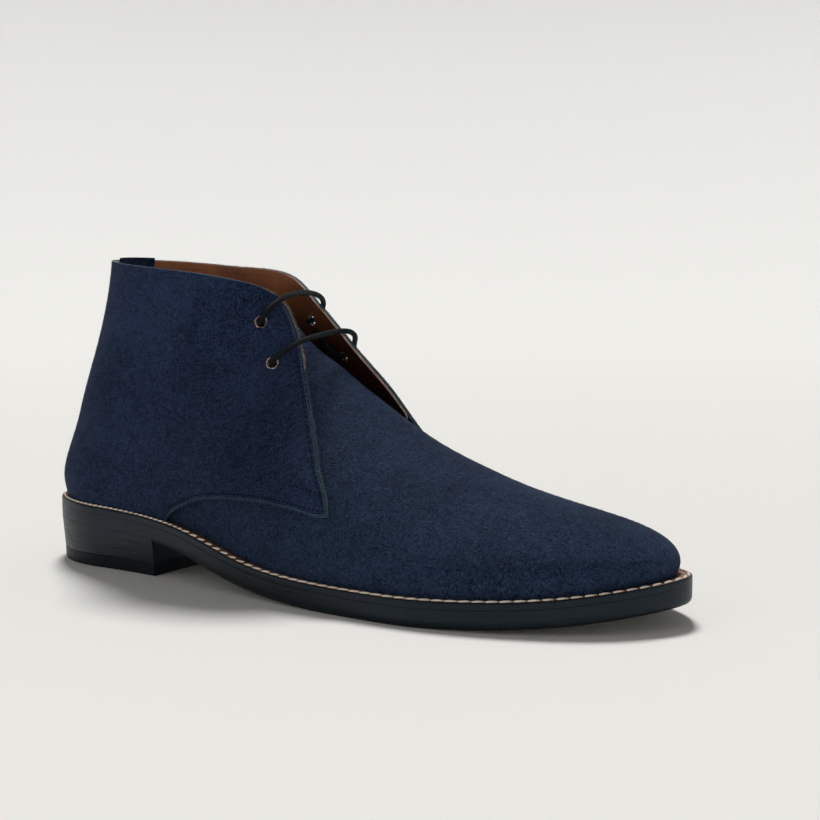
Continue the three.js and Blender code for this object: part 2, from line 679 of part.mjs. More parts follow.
const group = new THREE.Group();
group.name = "chukka_boot";
function addPiece(name, solid, material) {
  const mesh = new THREE.Mesh(geometryOf(solid), material);
  mesh.name = name;
  group.add(mesh);
}
addPiece("outsole", makeOutsole(), black);
addPiece("welt", makeWelt(), tan);
addPiece("heel_block", makeHeelBlock(), black);
addPiece("heel_top_piece", makeTopPiece(), black);
addPiece("insole", makeInsole(), leather);
addPiece("upper", makeUpper(), suede);
addPiece("tongue", makeTongue(), suede);
addPiece("lace", makeLace(), cord);

const space = new THREE.Box3().setFromObject(group);
const middle = space.getCenter(new THREE.Vector3());
group.position.set(-middle.x, -middle.y, -space.min.z);

export default group;
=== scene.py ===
# %% [markdown]
# # A suede chukka boot
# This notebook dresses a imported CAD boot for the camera. The CAD gives every piece its place and
# size; here each one is made again with the fine shapes, stitches and leathers that the eye
# expects. All lengths are typed in millimetres, as a shoemaker would say them, and turned into
# metres when a mesh is made.

import math

import bmesh
import bpy
import numpy as np
from mathutils import Matrix, Vector


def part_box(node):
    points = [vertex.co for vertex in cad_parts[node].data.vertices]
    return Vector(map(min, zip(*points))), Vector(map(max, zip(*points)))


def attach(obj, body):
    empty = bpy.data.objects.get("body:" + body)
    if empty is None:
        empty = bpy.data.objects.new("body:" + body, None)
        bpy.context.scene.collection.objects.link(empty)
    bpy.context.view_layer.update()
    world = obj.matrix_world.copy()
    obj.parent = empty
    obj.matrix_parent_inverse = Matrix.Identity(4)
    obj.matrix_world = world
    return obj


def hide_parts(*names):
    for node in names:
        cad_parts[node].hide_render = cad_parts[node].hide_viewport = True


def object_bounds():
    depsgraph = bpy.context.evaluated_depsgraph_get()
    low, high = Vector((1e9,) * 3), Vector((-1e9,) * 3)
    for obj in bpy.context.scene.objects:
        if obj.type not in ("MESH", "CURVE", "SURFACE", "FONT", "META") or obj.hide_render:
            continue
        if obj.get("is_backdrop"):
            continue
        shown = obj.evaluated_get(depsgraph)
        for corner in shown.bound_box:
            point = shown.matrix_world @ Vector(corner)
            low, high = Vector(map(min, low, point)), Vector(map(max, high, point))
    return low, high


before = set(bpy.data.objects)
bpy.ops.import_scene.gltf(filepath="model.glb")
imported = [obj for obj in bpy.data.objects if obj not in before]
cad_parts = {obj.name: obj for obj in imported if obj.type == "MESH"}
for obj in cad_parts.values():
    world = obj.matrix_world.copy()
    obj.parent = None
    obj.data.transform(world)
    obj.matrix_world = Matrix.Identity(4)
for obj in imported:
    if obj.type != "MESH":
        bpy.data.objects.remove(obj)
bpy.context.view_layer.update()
MM = 0.001

# %% [markdown]
# ## The last
# A boot is built over a last, the wooden form of a foot, and everything visible follows it. The
# last could be sculpted by hand, but a few short tables and a smooth curve through each of them
# give the same form every time, and the same form that the CAD has. x runs from the back of the
# heel to the toe, y to the inner side of the foot and z up.

# %% The last's tables
SOLE_LENGTH = 305
HEEL_BREAST = 75
HEEL_ROUND = 40
TOE_ROUND = 100
TOE_POINT = 1 / 1.8
TOE_SWING = 4
CLEARANCE = 0.3
MARGIN = 4.4
TOE_BACK, TOE_BACK_FROM = 1.9, 240
BULGE, BULGE_HEIGHT = 2.2, 14
SHAFT_HALF, SHAFT_FROM, SHAFT_TO = 29, 45, 105
BACK_ROUND = 34
HEEL_CORNER, CORNER_X = 15, 5
OUTER, INNER = -1, 1

FLANK = {
    "x": (0, 60, 90, 120, 150, 180, 210, 250, 305),
    OUTER: (33.2, 33.4, 36.8, 43.0, 48.6, 52.4, 54.0, 53.2, 52.5),
    INNER: (33.2, 32.2, 30.2, 31.0, 36.6, 44.0, 49.0, 50.5, 50.5),
}
EDGE = {
    "x": (0, 35, 70, 95, 115, 135, 155, 180, 210, 240, 270, 305),
    "seat": (29.0, 27.6, 25.5, 22.0, 17.3, 13.2, 11.2, 10.5, 10.5, 11.4, 13.6, 18.8),
    "tread": (19.0, 17.4, 15.2, 11.6, 6.8, 2.9, 0.8, -0.1, -0.1, 0.9, 3.2, 8.4),
}
BACK = {
    "z": (15, 28, 38, 47, 60, 75, 95, 115, 135, 160),
    "x": (8.5, 5.2, 3.8, 6.0, 11.5, 16.8, 24.2, 30.6, 34.6, 35.6),
}
# One row for each section of the last, from the toe up to the shaft.
SECTION_COLUMNS = ("foot", "ridge_x", "ridge_z", "front_x", "front_z", "crown", "square", "lean")
SECTIONS = (
    (300.6, 300.6, 18.2, 300.6, 18.2, 1.0, 2.2, 0),
    (297, 301.2, 22.4, 301.2, 22.4, 1.0, 2.2, 0),
    (291, 299.2, 27.8, 299.2, 27.8, 1.0, 2.2, 0),
    (281, 291.0, 33.2, 291.0, 33.2, 1.0, 2.3, 0),
    (267, 276.0, 37.8, 276.0, 37.8, 1.0, 2.3, 0),
    (247, 254.0, 42.2, 254.0, 42.2, 1.0, 2.2, 0.5),
    (226, 232.0, 47.2, 232.0, 47.2, 1.0, 2.1, 1.2),
    (207, 213.0, 53.6, 213.0, 53.6, 1.0, 2.0, 2.2),
    (188, 195.4, 60.6, 195.4, 60.6, 1.0, 2.0, 3.4),
    (168, 180.1, 68.8, 181.2, 70.6, 1.0, 2.0, 4.4),
    (145, 166.0, 77.8, 169.0, 83.6, 1.0, 2.0, 5.0),
    (115, 153.0, 86.6, 158.0, 95.0, 0.95, 2.0, 5.0),
    (78, 141.5, 95.0, 149.6, 104.1, 0.85, 2.0, 5.0),
    (42, 131.6, 102.4, 143.8, 110.9, 0.72, 2.0, 4.6),
    (17, 125.0, 109.0, 139.8, 116.7, 0.62, 2.0, 4.0),
    (5, 119.4, 113.8, 136.4, 121.4, 0.56, 2.0, 3.4),
    (-10, 115.0, 117.8, 133.9, 125.8, 0.5, 2.0, 2.8),
    (-34, 111.4, 121.9, 132.0, 129.9, 0.46, 2.0, 2.2),
    (-60, 108.6, 126.7, 130.6, 134.7, 0.44, 2.0, 1.6),
    (-85, 106.4, 132.5, 129.6, 140.5, 0.42, 2.0, 1.2),
    (-110, 105.0, 139.4, 129.0, 147.4, 0.42, 2.0, 1.0),
    (-130, 104.4, 147.4, 128.8, 155.4, 0.42, 2.0, 1.0),
)
print("sections of the last:", len(SECTIONS))


# %% Smooth curves through the tables
def spline(at, value):
    """A natural cubic spline through the points (at, value), for numbers and arrays."""
    at, value = np.array(at, float), np.array(value, float)
    last = len(at) - 1
    bend, carry = np.zeros(last + 1), np.zeros(last + 1)
    for i in range(1, last):
        share = (at[i] - at[i - 1]) / (at[i + 1] - at[i - 1])
        below = share * bend[i - 1] + 2
        slope = np.diff(value[i - 1 : i + 2]) / np.diff(at[i - 1 : i + 2])
        bend[i] = (share - 1) / below
        turn = 6 * (slope[1] - slope[0]) / (at[i + 1] - at[i - 1])
        carry[i] = (turn - share * carry[i - 1]) / below
    for i in range(last - 1, -1, -1):
        bend[i] = bend[i] * bend[i + 1] + carry[i]

    def curve(where):
        v = np.clip(where, at[0], at[-1])
        i = np.clip(np.searchsorted(at, v) - 1, 0, last - 1)
        step = at[i + 1] - at[i]
        a = (at[i + 1] - v) / step
        b = 1 - a
        pull = ((a**3 - a) * bend[i] + (b**3 - b) * bend[i + 1]) * step**2 / 6
        return a * value[i] + b * value[i + 1] + pull

    return curve


flank = {side: spline(FLANK["x"], FLANK[side]) for side in (OUTER, INNER)}
seat_z = spline(EDGE["x"], EDGE["seat"])
tread_z = spline(EDGE["x"], EDGE["tread"])
back_x = spline(BACK["z"], BACK["x"])
section = {
    name: spline(range(len(SECTIONS)), [row[i] for row in SECTIONS])
    for i, name in enumerate(SECTION_COLUMNS)
}
CORNER_Z = float(seat_z(CORNER_X)) + CLEARANCE


def smooth(value, low, high):
    """Rises gently from 0 at low to 1 at high."""
    t = np.clip((value - low) / (high - low), 0, 1)
    return t * t * (3 - 2 * t)


def swing(x):
    """How far the toe is turned towards the inner side."""
    return TOE_SWING * np.clip((x - 200) / (SOLE_LENGTH - 200), 0, 1) ** 2


def toe_round(x, inset):
    """The share of the half width that the round toe leaves at x."""
    share = np.clip((SOLE_LENGTH - inset - x) / (TOE_ROUND - inset), 0, 1)
    return (1 - (1 - share) ** 2) ** TOE_POINT


def toe_back(x):
    """How far the last is set back from the sole's edge at the toe."""
    reach = SOLE_LENGTH - MARGIN - TOE_BACK_FROM
    return TOE_BACK * np.clip((x - TOE_BACK_FROM) / reach, 0, 1) ** 2


def edge_y(side, x, inset):
    """Where the sole's outline is, moved in by inset."""
    heel = np.sqrt(1 - (1 - np.clip((x - inset) / (HEEL_ROUND - inset), 0, 1)) ** 2)
    return swing(x) + side * (flank[side](x) - inset) * heel * toe_round(x, inset)


# The CAD boot stands with the middle of its box at the origin, so the tables move with it.
sole_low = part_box("outsole")[0] / MM
outline_x = np.linspace(0, SOLE_LENGTH, 2001)
TO_ROW = np.array([sole_low.x, sole_low.y - edge_y(OUTER, outline_x, 0).min(), 0.0])
print("last to boot in mm:", TO_ROW.round(2))


# %% The surface of the last
def section_ends(line, u):
    """Foot and top of section u in side view, as four arrays."""
    foot = section["foot"](u)
    up_z = CORNER_Z + (CORNER_X - foot)
    flat_x = np.maximum(foot, CORNER_X)
    on_sole = u <= HEEL_CORNER
    foot_x = np.where(on_sole, flat_x, CORNER_X + back_x(up_z) - back_x(CORNER_Z))
    foot_z = np.where(on_sole, seat_z(flat_x) + CLEARANCE, up_z)
    return foot_x, foot_z, section[line + "_x"](u), section[line + "_z"](u)


def form(line, u, side, h):
    """A point of the form: section u, share h of the way from its foot to the ridge."""
    u, h = np.broadcast_arrays(np.asarray(u, float), np.asarray(h, float))
    foot_x, foot_z, top_x, top_z = section_ends(line, u)
    x = foot_x + (top_x - foot_x) * h
    z = foot_z + (top_z - foot_z) * h
    crown = section["crown"](u)
    turned = np.clip((h - (1 - crown)) / crown, 0, 1)
    crown_close = np.sqrt(1 - turned ** section["square"](u))
    back_start = CORNER_X + back_x(z) - back_x(CORNER_Z)
    back_close = np.sqrt(1 - (1 - np.clip((x - back_start) / BACK_ROUND, 0, 1)) ** 2)
    swell = BULGE * np.sin(np.pi / 2 * np.clip((z - seat_z(x)) / BULGE_HEIGHT, 0, 1))
    half = flank[side](x) - MARGIN + swell
    half = half + (SHAFT_HALF - half) * smooth(z, SHAFT_FROM, SHAFT_TO)
    toe = toe_round(np.minimum(section["foot"](u), SOLE_LENGTH - MARGIN), MARGIN)
    middle = swing(x) + section["lean"](u) * h**2
    return np.stack([x - toe_back(x), middle + side * half * crown_close * back_close * toe, z], -1)


# %% Stand off the last
def skin(line, u, side, h, offset):
    """Points that stand off the form by offset, and the outward normals there."""
    u, h = np.broadcast_arrays(np.asarray(u, float), np.asarray(h, float))
    last_u = len(SECTIONS) - 1
    up_step, back_step = 0.004, 0.03
    above, below = np.minimum(h + up_step, 1), np.maximum(h - up_step, 0)
    behind, ahead = np.minimum(u + back_step, last_u), np.maximum(u - back_step, 0)
    upwards = form(line, u, side, above) - form(line, u, side, below)
    backwards = form(line, behind, side, h) - form(line, ahead, side, h)
    normal = np.cross(upwards, backwards) * -side
    normal /= np.maximum(np.linalg.norm(normal, axis=-1, keepdims=True), 1e-9)
    return form(line, u, side, h) + normal * np.asarray(offset)[..., None], normal


def find_section(line, x, z):
    """Which section passes through side-view points, and how far up it they are."""
    low, high = np.full(np.shape(x), 4.0), np.full(np.shape(x), len(SECTIONS) - 1.0)
    for _ in range(30):
        u = (low + high) / 2
        foot_x, foot_z, top_x, top_z = section_ends(line, u)
        behind = (top_x - foot_x) * (z - foot_z) - (top_z - foot_z) * (x - foot_x) > 0
        low, high = np.where(behind, u, low), np.where(behind, high, u)
    foot_x, foot_z, top_x, top_z = section_ends(line, u)
    length = (top_x - foot_x) ** 2 + (top_z - foot_z) ** 2
    h = ((x - foot_x) * (top_x - foot_x) + (z - foot_z) * (top_z - foot_z)) / length
    return u, np.clip(h, 0, 1)


print("ankle half width in mm:", round(float(form("front", 17, OUTER, 0.5)[1]), 1))

# %% [markdown]
# ## Turning points into meshes
# Leather is a sheet, so most pieces start as a flat grid whose points are then laid on the last, as
# a shoemaker lays the cut leather. Extruding the sheet and moving the copy inwards gives it a wall.
# Solid pieces such as the sole are a grid too, rolled round into a closed skin whose edges are
# merged.


# %% Helpers for grids and sheets
def add_grid(bm, points):
    """A grid laid where the array (rows, columns, 3) says, in millimetres, filling any UV map."""
    rows, columns = points.shape[:2]
    steps = {"x_segments": columns - 1, "y_segments": rows - 1}
    made = bmesh.ops.create_grid(bm, size=1, calc_uvs=True, **steps)
    for vert, place in zip(made["verts"], (points.reshape(-1, 3) + TO_ROW) * MM):
        vert.co = place


def finish_mesh(bm, name, materials, nodes, smooth_faces=True):
    """Makes the object, lets it ride on the boot and hides the CAD nodes it stands for."""
    mesh = bpy.data.meshes.new(name)
    bm.to_mesh(mesh)
    bm.free()
    for material in materials:
        mesh.materials.append(material)
    mesh.shade_smooth() if smooth_faces else mesh.shade_flat()
    piece = bpy.data.objects.new(name, mesh)
    bpy.context.scene.collection.objects.link(piece)
    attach(piece, "root")
    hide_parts(*nodes)
    triangles = sum(len(p.vertices) - 2 for p in mesh.polygons)
    print(f"{name}: {triangles} triangles")


# %% Punch holes and give a sheet its wall
def punch(bm, spot, normal, radius):
    """Cuts a round hole: the faces near it are made finer, then those inside it are taken out."""

    def from_axis(place):
        away = place - spot
        height = away.dot(normal)
        return abs(height) * 0.2 + (away - normal * height).length

    near = [face for face in bm.faces if from_axis(face.calc_center_median()) < radius * 2]
    edges = list({edge for face in near for edge in face.edges})
    bmesh.ops.subdivide_edges(bm, edges=edges, cuts=3, use_grid_fill=True)
    inside = [vert for vert in bm.verts if from_axis(vert.co) < radius]
    bmesh.ops.delete(bm, geom=inside, context="VERTS")
    for vert in bm.verts:
        if vert.is_boundary and from_axis(vert.co) < radius * 1.8:
            rise = normal * (vert.co - spot).dot(normal)
            vert.co = spot + rise + (vert.co - spot - rise).normalized() * radius


def sheet_mesh(points, wall, holes=()):
    """A leather sheet: the grid is its outside, and the wall goes inwards, with holes punched."""
    bm = bmesh.new()
    add_grid(bm, points)
    bmesh.ops.remove_doubles(bm, verts=bm.verts[:], dist=1e-6)
    for spot, normal, radius in holes:
        punch(bm, Vector((spot + TO_ROW) * MM), Vector(normal), radius * MM)
    bm.normal_update()
    under = bm.faces[:]
    inner_place = [(vert, vert.co - vert.normal * wall * MM) for vert in bm.verts]
    outward = [face.normal.copy() for face in under]
    sheet = under + bm.edges[:] + bm.verts[:]
    made = bmesh.ops.extrude_face_region(bm, geom=sheet, use_keep_orig=True)
    over = {item for item in made["geom"] if isinstance(item, bmesh.types.BMFace)}
    for vert, place in inner_place:
        vert.co = place
    bm.normal_update()
    wrong = [face for face, way in zip(under, outward) if face.normal.dot(way) > 0]
    bmesh.ops.reverse_faces(bm, faces=wrong)
    under = set(under)
    for face in bm.faces:
        face.material_index = 0 if face in over else 1 if face in under else 2
    for edge in bm.edges:
        if len({face.material_index for face in edge.link_faces}) > 1:
            edge.smooth = False
    return bm


# %% Helpers for lines
def run_along(line):
    """The distance of each point of a line from its start."""
    return np.concatenate([[0], np.cumsum(np.linalg.norm(np.diff(line, axis=0), axis=1))])


def smooth_line(points, count=160):
    """A smooth side-view line through a short table of (x, z) points."""
    table = np.array(points, float)
    run = run_along(table)
    at = np.linspace(0, run[-1], count)
    return np.stack([spline(run, table[:, 0])(at), spline(run, table[:, 1])(at)], -1)


def along(line, share):
    """Points at shares of the length of a dense line."""
    run = run_along(line)
    return np.stack([np.interp(share * run[-1], run, line[:, i]) for i in range(line.shape[1])], -1)


def line_length(line):
    return float(np.linalg.norm(np.diff(line, axis=0), axis=1).sum())


# %% [markdown]
# ## Leathers and threads
# Suede is the napped flesh side of a hide: thousands of short fibres that catch the light one by
# one, lying this way here and that way there. An image could be painted, but noise in a few sizes
# does it at any distance: large patches where a hand has brushed the nap, small clumps, and the
# fibres themselves. The same group serves the uppers, the raw edges and the fluff of the lining.


# %% Helpers for materials
def group_with(name, inputs, outputs):
    """An empty shader node group with named inputs and outputs."""
    group = bpy.data.node_groups.new(name, "ShaderNodeTree")
    for socket, kind, value in inputs:
        kind = "NodeSocket" + kind
        made = group.interface.new_socket(name=socket, in_out="INPUT", socket_type=kind)
        if value is not None:
            made.default_value = value
    for socket, kind in outputs:
        group.interface.new_socket(name=socket, in_out="OUTPUT", socket_type="NodeSocket" + kind)
    return group, group.nodes.new("NodeGroupInput"), group.nodes.new("NodeGroupOutput")


def node(tree, kind, settings=(), **inputs):
    """Adds a node, sets its options, and fills or links its inputs by name, or by number as i0."""
    made = tree.nodes.new("ShaderNode" + kind)
    for option, value in dict(settings).items():
        setattr(made, option, value)
    for socket, value in inputs.items():
        by_number = socket[0] == "i" and socket[1:].isdigit()
        socket = int(socket[1:]) if by_number else socket.replace("_", " ")
        if isinstance(value, bpy.types.NodeSocket):
            tree.links.new(value, made.inputs[socket])
        else:
            made.inputs[socket].default_value = value
    return made


def math_node(tree, operation, first, second=0.0):
    return node(tree, "Math", {"operation": operation}, i0=first, i1=second).outputs[0]


def stretched(tree, vector, factors):
    """The vector times a factor for each axis."""
    return node(tree, "VectorMath", {"operation": "MULTIPLY"}, i0=vector, i1=factors).outputs[0]


def about_zero(tree, mask, amount):
    """A mask of 0 to 1 turned into a push up or down, amount in all."""
    return math_node(tree, "MULTIPLY", math_node(tree, "SUBTRACT", mask, 0.5), amount)


def mix_colour(tree, share, first, second):
    made = node(tree, "Mix", {"data_type": "RGBA"}, i0=share, i6=first, i7=second)
    return made.outputs[2]


def noise(tree, vector, scale, detail=2.0, roughness=0.5, distortion=0.0):
    made = node(tree, "TexNoise", Vector=vector, Scale=scale, Detail=detail)
    made.inputs["Roughness"].default_value = roughness
    made.inputs["Distortion"].default_value = distortion
    return made.outputs["Fac"]


def spread(tree, value, low, high):
    """Stretches a mask so that low becomes 0 and high becomes 1."""
    return node(tree, "MapRange", i0=value, i1=low, i2=high).outputs[0]


def new_material(name, group, colour_in, bump=0.3, bump_mm=0.3, coordinates="Object", **fixed):
    """A Principled material fed by one group. fixed are the shader's own constant sockets."""
    material = bpy.data.materials.new(name)
    material.use_nodes = True
    tree = material.node_tree
    shader = tree.nodes["Principled BSDF"]
    for socket, value in fixed.items():
        shader.inputs[socket.replace("_", " ")].default_value = value
    place = node(tree, "TexCoord").outputs[coordinates]
    pattern = tree.nodes.new("ShaderNodeGroup")
    pattern.node_tree = group
    tree.links.new(place, pattern.inputs["Vector"])
    for socket, value in colour_in.items():
        pattern.inputs[socket].default_value = value
    tree.links.new(pattern.outputs["Color"], shader.inputs["Base Color"])
    tree.links.new(pattern.outputs["Roughness"], shader.inputs["Roughness"])
    raised = pattern.outputs["Height"]
    relief = node(tree, "Bump", Strength=bump, Distance=bump_mm * MM, Height=raised)
    tree.links.new(relief.outputs["Normal"], shader.inputs["Normal"])
    return material


# %% The nap of suede
nap, nap_in, nap_out = group_with(
    "suede_nap",
    (
        ("Vector", "Vector", None),
        ("Deep", "Color", (0.01, 0.02, 0.05, 1)),
        ("Fair", "Color", (0.04, 0.06, 0.15, 1)),
        ("Patches", "Float", 0.5),
        ("Flecks", "Float", 0.5),
        ("Fibre Scale", "Float", 1450.0),
    ),
    (("Color", "Color"), ("Roughness", "Float"), ("Height", "Float")),
)

# %% Draw the nap
# Scales are how many waves of noise fit into a metre.
BRUSHED, CLUMPED, SWAPPED = 22.0, 260.0, 140.0
LAYS = ((0.55, 0.8, 1.5), (1.4, 1.0, 0.6))
where = nap_in.outputs["Vector"]
fibre_scale = nap_in.outputs["Fibre Scale"]
brushed = spread(nap, noise(nap, where, BRUSHED, 3.0, 0.55, 0.6), 0.3, 0.7)
clumps = spread(nap, noise(nap, where, CLUMPED, 2.0, 0.6, 0.5), 0.3, 0.7)
lays = [noise(nap, stretched(nap, where, lay), fibre_scale, 2.0, 0.75, 0.9) for lay in LAYS]
lays = [spread(nap, lay, 0.4, 0.62) for lay in lays]
swap = spread(nap, noise(nap, where, SWAPPED, 1.0), 0.4, 0.6)
fibres = mix_colour(nap, swap, *lays)
fine_scale = math_node(nap, "MULTIPLY", fibre_scale, 2.4)
fine = spread(nap, noise(nap, where, fine_scale, 1.0, 0.5, 0.8), 0.3, 0.7)
both = math_node(
    nap, "ADD", math_node(nap, "MULTIPLY", fibres, 0.75), math_node(nap, "MULTIPLY", fine, 0.25)
)

# %% Join the sizes of the nap
share = about_zero(nap, brushed, nap_in.outputs["Patches"])
share = math_node(nap, "ADD", share, about_zero(nap, clumps, 0.22))
flecks = about_zero(nap, both, nap_in.outputs["Flecks"])
share = spread(nap, math_node(nap, "ADD", share, math_node(nap, "ADD", flecks, 0.5)), 0.0, 1.0)
tone = mix_colour(nap, share, nap_in.outputs["Deep"], nap_in.outputs["Fair"])
height = math_node(nap, "ADD", both, math_node(nap, "MULTIPLY", clumps, 0.5))
nap.links.new(tone, nap_out.inputs["Color"])
nap.links.new(spread(nap, both, -1.5, 1.4), nap_out.inputs["Roughness"])
nap.links.new(height, nap_out.inputs["Height"])
print("suede group inputs:", len(nap.interface.items_tree))


# %% The suedes
def suede(name, deep, fair, patches, flecks, bump, bump_mm, fibre_scale=1450.0, **fixed):
    """A napped leather between two tones."""
    look = {"Deep": (*deep, 1), "Fair": (*fair, 1), "Patches": patches, "Flecks": flecks}
    look["Fibre Scale"] = fibre_scale
    return new_material(name, nap, look, bump, bump_mm, **fixed)


suede_shine = {
    "Specular_IOR_Level": 0.04,
    "Sheen_Weight": 0.05,
    "Sheen_Roughness": 0.45,
    "Sheen_Tint": (0.42, 0.52, 0.85, 1),
}
NAVY_DEEP = (0.0020, 0.0055, 0.0160)
vamp_suede = suede(
    "vamp_suede", NAVY_DEEP, (0.040, 0.066, 0.134), 0.24, 1.35, 0.75, 0.45, **suede_shine
)
quarter_suede = suede(
    "quarter_suede", NAVY_DEEP, (0.036, 0.058, 0.134), 0.36, 1.35, 0.8, 0.5, **suede_shine
)
cut_edge = suede(
    "cut_suede_edge", (0.010, 0.032, 0.055), (0.11, 0.22, 0.30), 0.3, 1.2, 0.9, 0.5, 1800.0
)
lining_lip = suede("lining_cut_edge", (0.20, 0.10, 0.07), (0.74, 0.58, 0.49), 0.3, 1.0, 0.7, 0.4)

# %% [markdown]
# Smooth leather and waxed edges share another group: a fine pebble of pores, soft stains where the
# dye took more or less, and the faint streaks that a cutter and an edge iron leave along a sole.
# It can also paint shade: a darker colour below a given height.

# %% Smooth leather
grain, grain_in, grain_out = group_with(
    "smooth_leather",
    (
        ("Vector", "Vector", None),
        ("Deep", "Color", (0.1, 0.05, 0.02, 1)),
        ("Fair", "Color", (0.2, 0.1, 0.05, 1)),
        ("Pore Scale", "Float", 900.0),
        ("Streak", "Vector", (1.0, 1.0, 1.0)),
        ("Dull", "Float", 0.45),
        # Dark and its two heights paint shade: Dark below Dark From, the leather's own colour above
        # Dark To.
        ("Dark", "Color", (0.030, 0.008, 0.004, 1)),
        ("Dark From", "Float", -1.0),
        ("Dark To", "Float", -0.9),
    ),
    (("Color", "Color"), ("Roughness", "Float"), ("Height", "Float")),
)

# %% Draw the leather's grain
STAINS, BRUSH_MARKS = 60.0, 420.0
streaked = stretched(grain, grain_in.outputs["Vector"], grain_in.outputs["Streak"])
stain = spread(grain, noise(grain, streaked, STAINS, 4.0, 0.6, 0.3), 0.3, 0.72)
pores = node(grain, "TexVoronoi", Vector=streaked, Scale=grain_in.outputs["Pore Scale"])
brush = noise(grain, streaked, BRUSH_MARKS, 3.0, 0.6, 0.2)
worn = mix_colour(grain, stain, grain_in.outputs["Deep"], grain_in.outputs["Fair"])
# Painted shade by height: below Dark From the colour turns to Dark.
level = node(grain, "SeparateXYZ", Vector=grain_in.outputs["Vector"]).outputs["Z"]
unshaded_share = spread(grain, level, grain_in.outputs["Dark From"], grain_in.outputs["Dark To"])
tone = mix_colour(grain, unshaded_share, grain_in.outputs["Dark"], worn)
rough = math_node(grain, "ADD", about_zero(grain, brush, 0.35), grain_in.outputs["Dull"])
brush_relief = math_node(grain, "MULTIPLY", brush, 0.8)
height = math_node(grain, "ADD", pores.outputs["Distance"], brush_relief)
grain.links.new(tone, grain_out.inputs["Color"])
grain.links.new(rough, grain_out.inputs["Roughness"])
grain.links.new(height, grain_out.inputs["Height"])
print("leather group inputs:", len(grain.interface.items_tree))


# %% The smooth leathers, waxed edges and threads
def leather(name, deep, fair, dull=0.6, bump=0.3, bump_mm=0.1, pattern=(), **fixed):
    """A smooth leather, wax, rubber or thread between two tones."""
    look = {"Deep": (*deep, 1), "Fair": (*fair, 1), "Dull": dull, **dict(pattern)}
    return new_material(name, grain, look, bump, bump_mm, **fixed)


# Painted shade: the lining's colour darkens from the collar down into the boot, between these
# heights in metres, in place of the shade inside the boot. The insole and the vamp's inside get it
# too.
painted_shade_into_boot = {"Dark From": 0.098, "Dark To": 0.128}
lining_leather = leather(
    "lining_leather", (0.17, 0.052, 0.014), (0.38, 0.128, 0.036), 0.4, 0.25, 0.15, painted_shade_into_boot
)
sole_edge = leather(
    "waxed_sole_edge",
    (0.0010, 0.0014, 0.0021),
    (0.0036, 0.005, 0.008),
    0.42,
    pattern={"Streak": (0.25, 0.25, 3.0)},
    Specular_IOR_Level=0.35,
    Specular_Tint=(0.62, 0.8, 1.0, 1),
)
under_leather = leather(
    "outsole_underside", (0.012, 0.012, 0.013), (0.03, 0.03, 0.03), bump=0.4, bump_mm=0.2
)
rubber = leather(
    "top_piece_rubber",
    (0.0012, 0.0016, 0.0022),
    (0.004, 0.0052, 0.007),
    0.5,
    Specular_IOR_Level=0.2,
    Specular_Tint=(0.5, 0.7, 1.0, 1),
)
welt_leather = leather(
    "welt_leather", (0.12, 0.045, 0.025), (0.33, 0.17, 0.11), bump=0.5, bump_mm=0.2
)
thread_cream = leather("cream_thread", (0.68, 0.55, 0.45), (0.90, 0.80, 0.70))
thread_navy = leather(
    "navy_thread", (0.0008, 0.0015, 0.003), (0.003, 0.005, 0.009), 0.8, Specular_IOR_Level=0.08
)
thread_brown = leather("brown_thread", (0.16, 0.06, 0.022), (0.30, 0.13, 0.05), 0.5)
print("leathers and threads made")

# %% [markdown]
# The lace is a round braid: two sets of strands that cross. They are two waves drawn along and
# around the lace, in its own UV map, so that the pattern follows every bend.

# %% The braid
braid, braid_in, braid_out = group_with(
    "braided_cord",
    (
        ("Vector", "Vector", None),
        ("Deep", "Color", (0.002, 0.003, 0.004, 1)),
        ("Fair", "Color", (0.014, 0.021, 0.027, 1)),
        ("Along", "Float", 230.0),
        ("Around", "Float", 3.0),
    ),
    (("Color", "Color"), ("Roughness", "Float"), ("Height", "Float")),
)
across_along = node(braid, "SeparateXYZ", Vector=braid_in.outputs["Vector"])
along_turns = math_node(braid, "MULTIPLY", across_along.outputs["Y"], braid_in.outputs["Along"])
around_turns = math_node(braid, "MULTIPLY", across_along.outputs["X"], braid_in.outputs["Around"])
crossing = []
for operation in ("ADD", "SUBTRACT"):
    turns = math_node(braid, operation, along_turns, around_turns)
    crossing.append(math_node(braid, "SINE", math_node(braid, "MULTIPLY", turns, 2 * math.pi)))
strands = math_node(braid, "ABSOLUTE", math_node(braid, "MULTIPLY", *crossing))
tone = mix_colour(braid, strands, braid_in.outputs["Deep"], braid_in.outputs["Fair"])
braid.links.new(tone, braid_out.inputs["Color"])
braid.links.new(spread(braid, strands, -1.4, 1.8), braid_out.inputs["Roughness"])
braid.links.new(strands, braid_out.inputs["Height"])
waxed_cord = new_material(
    "waxed_lace", braid, {}, 1.0, 0.6, coordinates="UV", Specular_IOR_Level=0.2
)
print("braid group inputs:", len(braid.interface.items_tree))

# %% [markdown]
# ## Vamp and tongue
# The front of the boot is one piece of suede: it runs from the toe over the instep and goes on
# under the quarters as the tongue. It is laid section by section from the toe to the top of the
# tongue. Behind the quarters' lower edge nobody sees it, so there the sheet narrows to the tongue.

# %% Lay the vamp
TONGUE_TOP = 17.1
VAMP_ROWS, VAMP_COLUMNS = 200, 58
VAMP_WALL = 1.9


def even_sections(line, first, last, count):
    """Section numbers whose ridge points are evenly spaced."""
    u = np.linspace(first, last, 800)
    ridge = np.stack([section[line + "_x"](u), section[line + "_z"](u)], -1)
    run = run_along(ridge)
    return np.interp(np.linspace(0, run[-1], count), run, u)


def vamp_low(u):
    """How far up each section the sheet starts: at the feather edge, or at the tongue's side."""
    tongue_side = 0.70 * smooth(u, 12.15, 12.75)
    rounded = 0.22 * np.clip((u - (TONGUE_TOP - 1.2)) / 1.2, 0, 1) ** 3
    return tongue_side + rounded


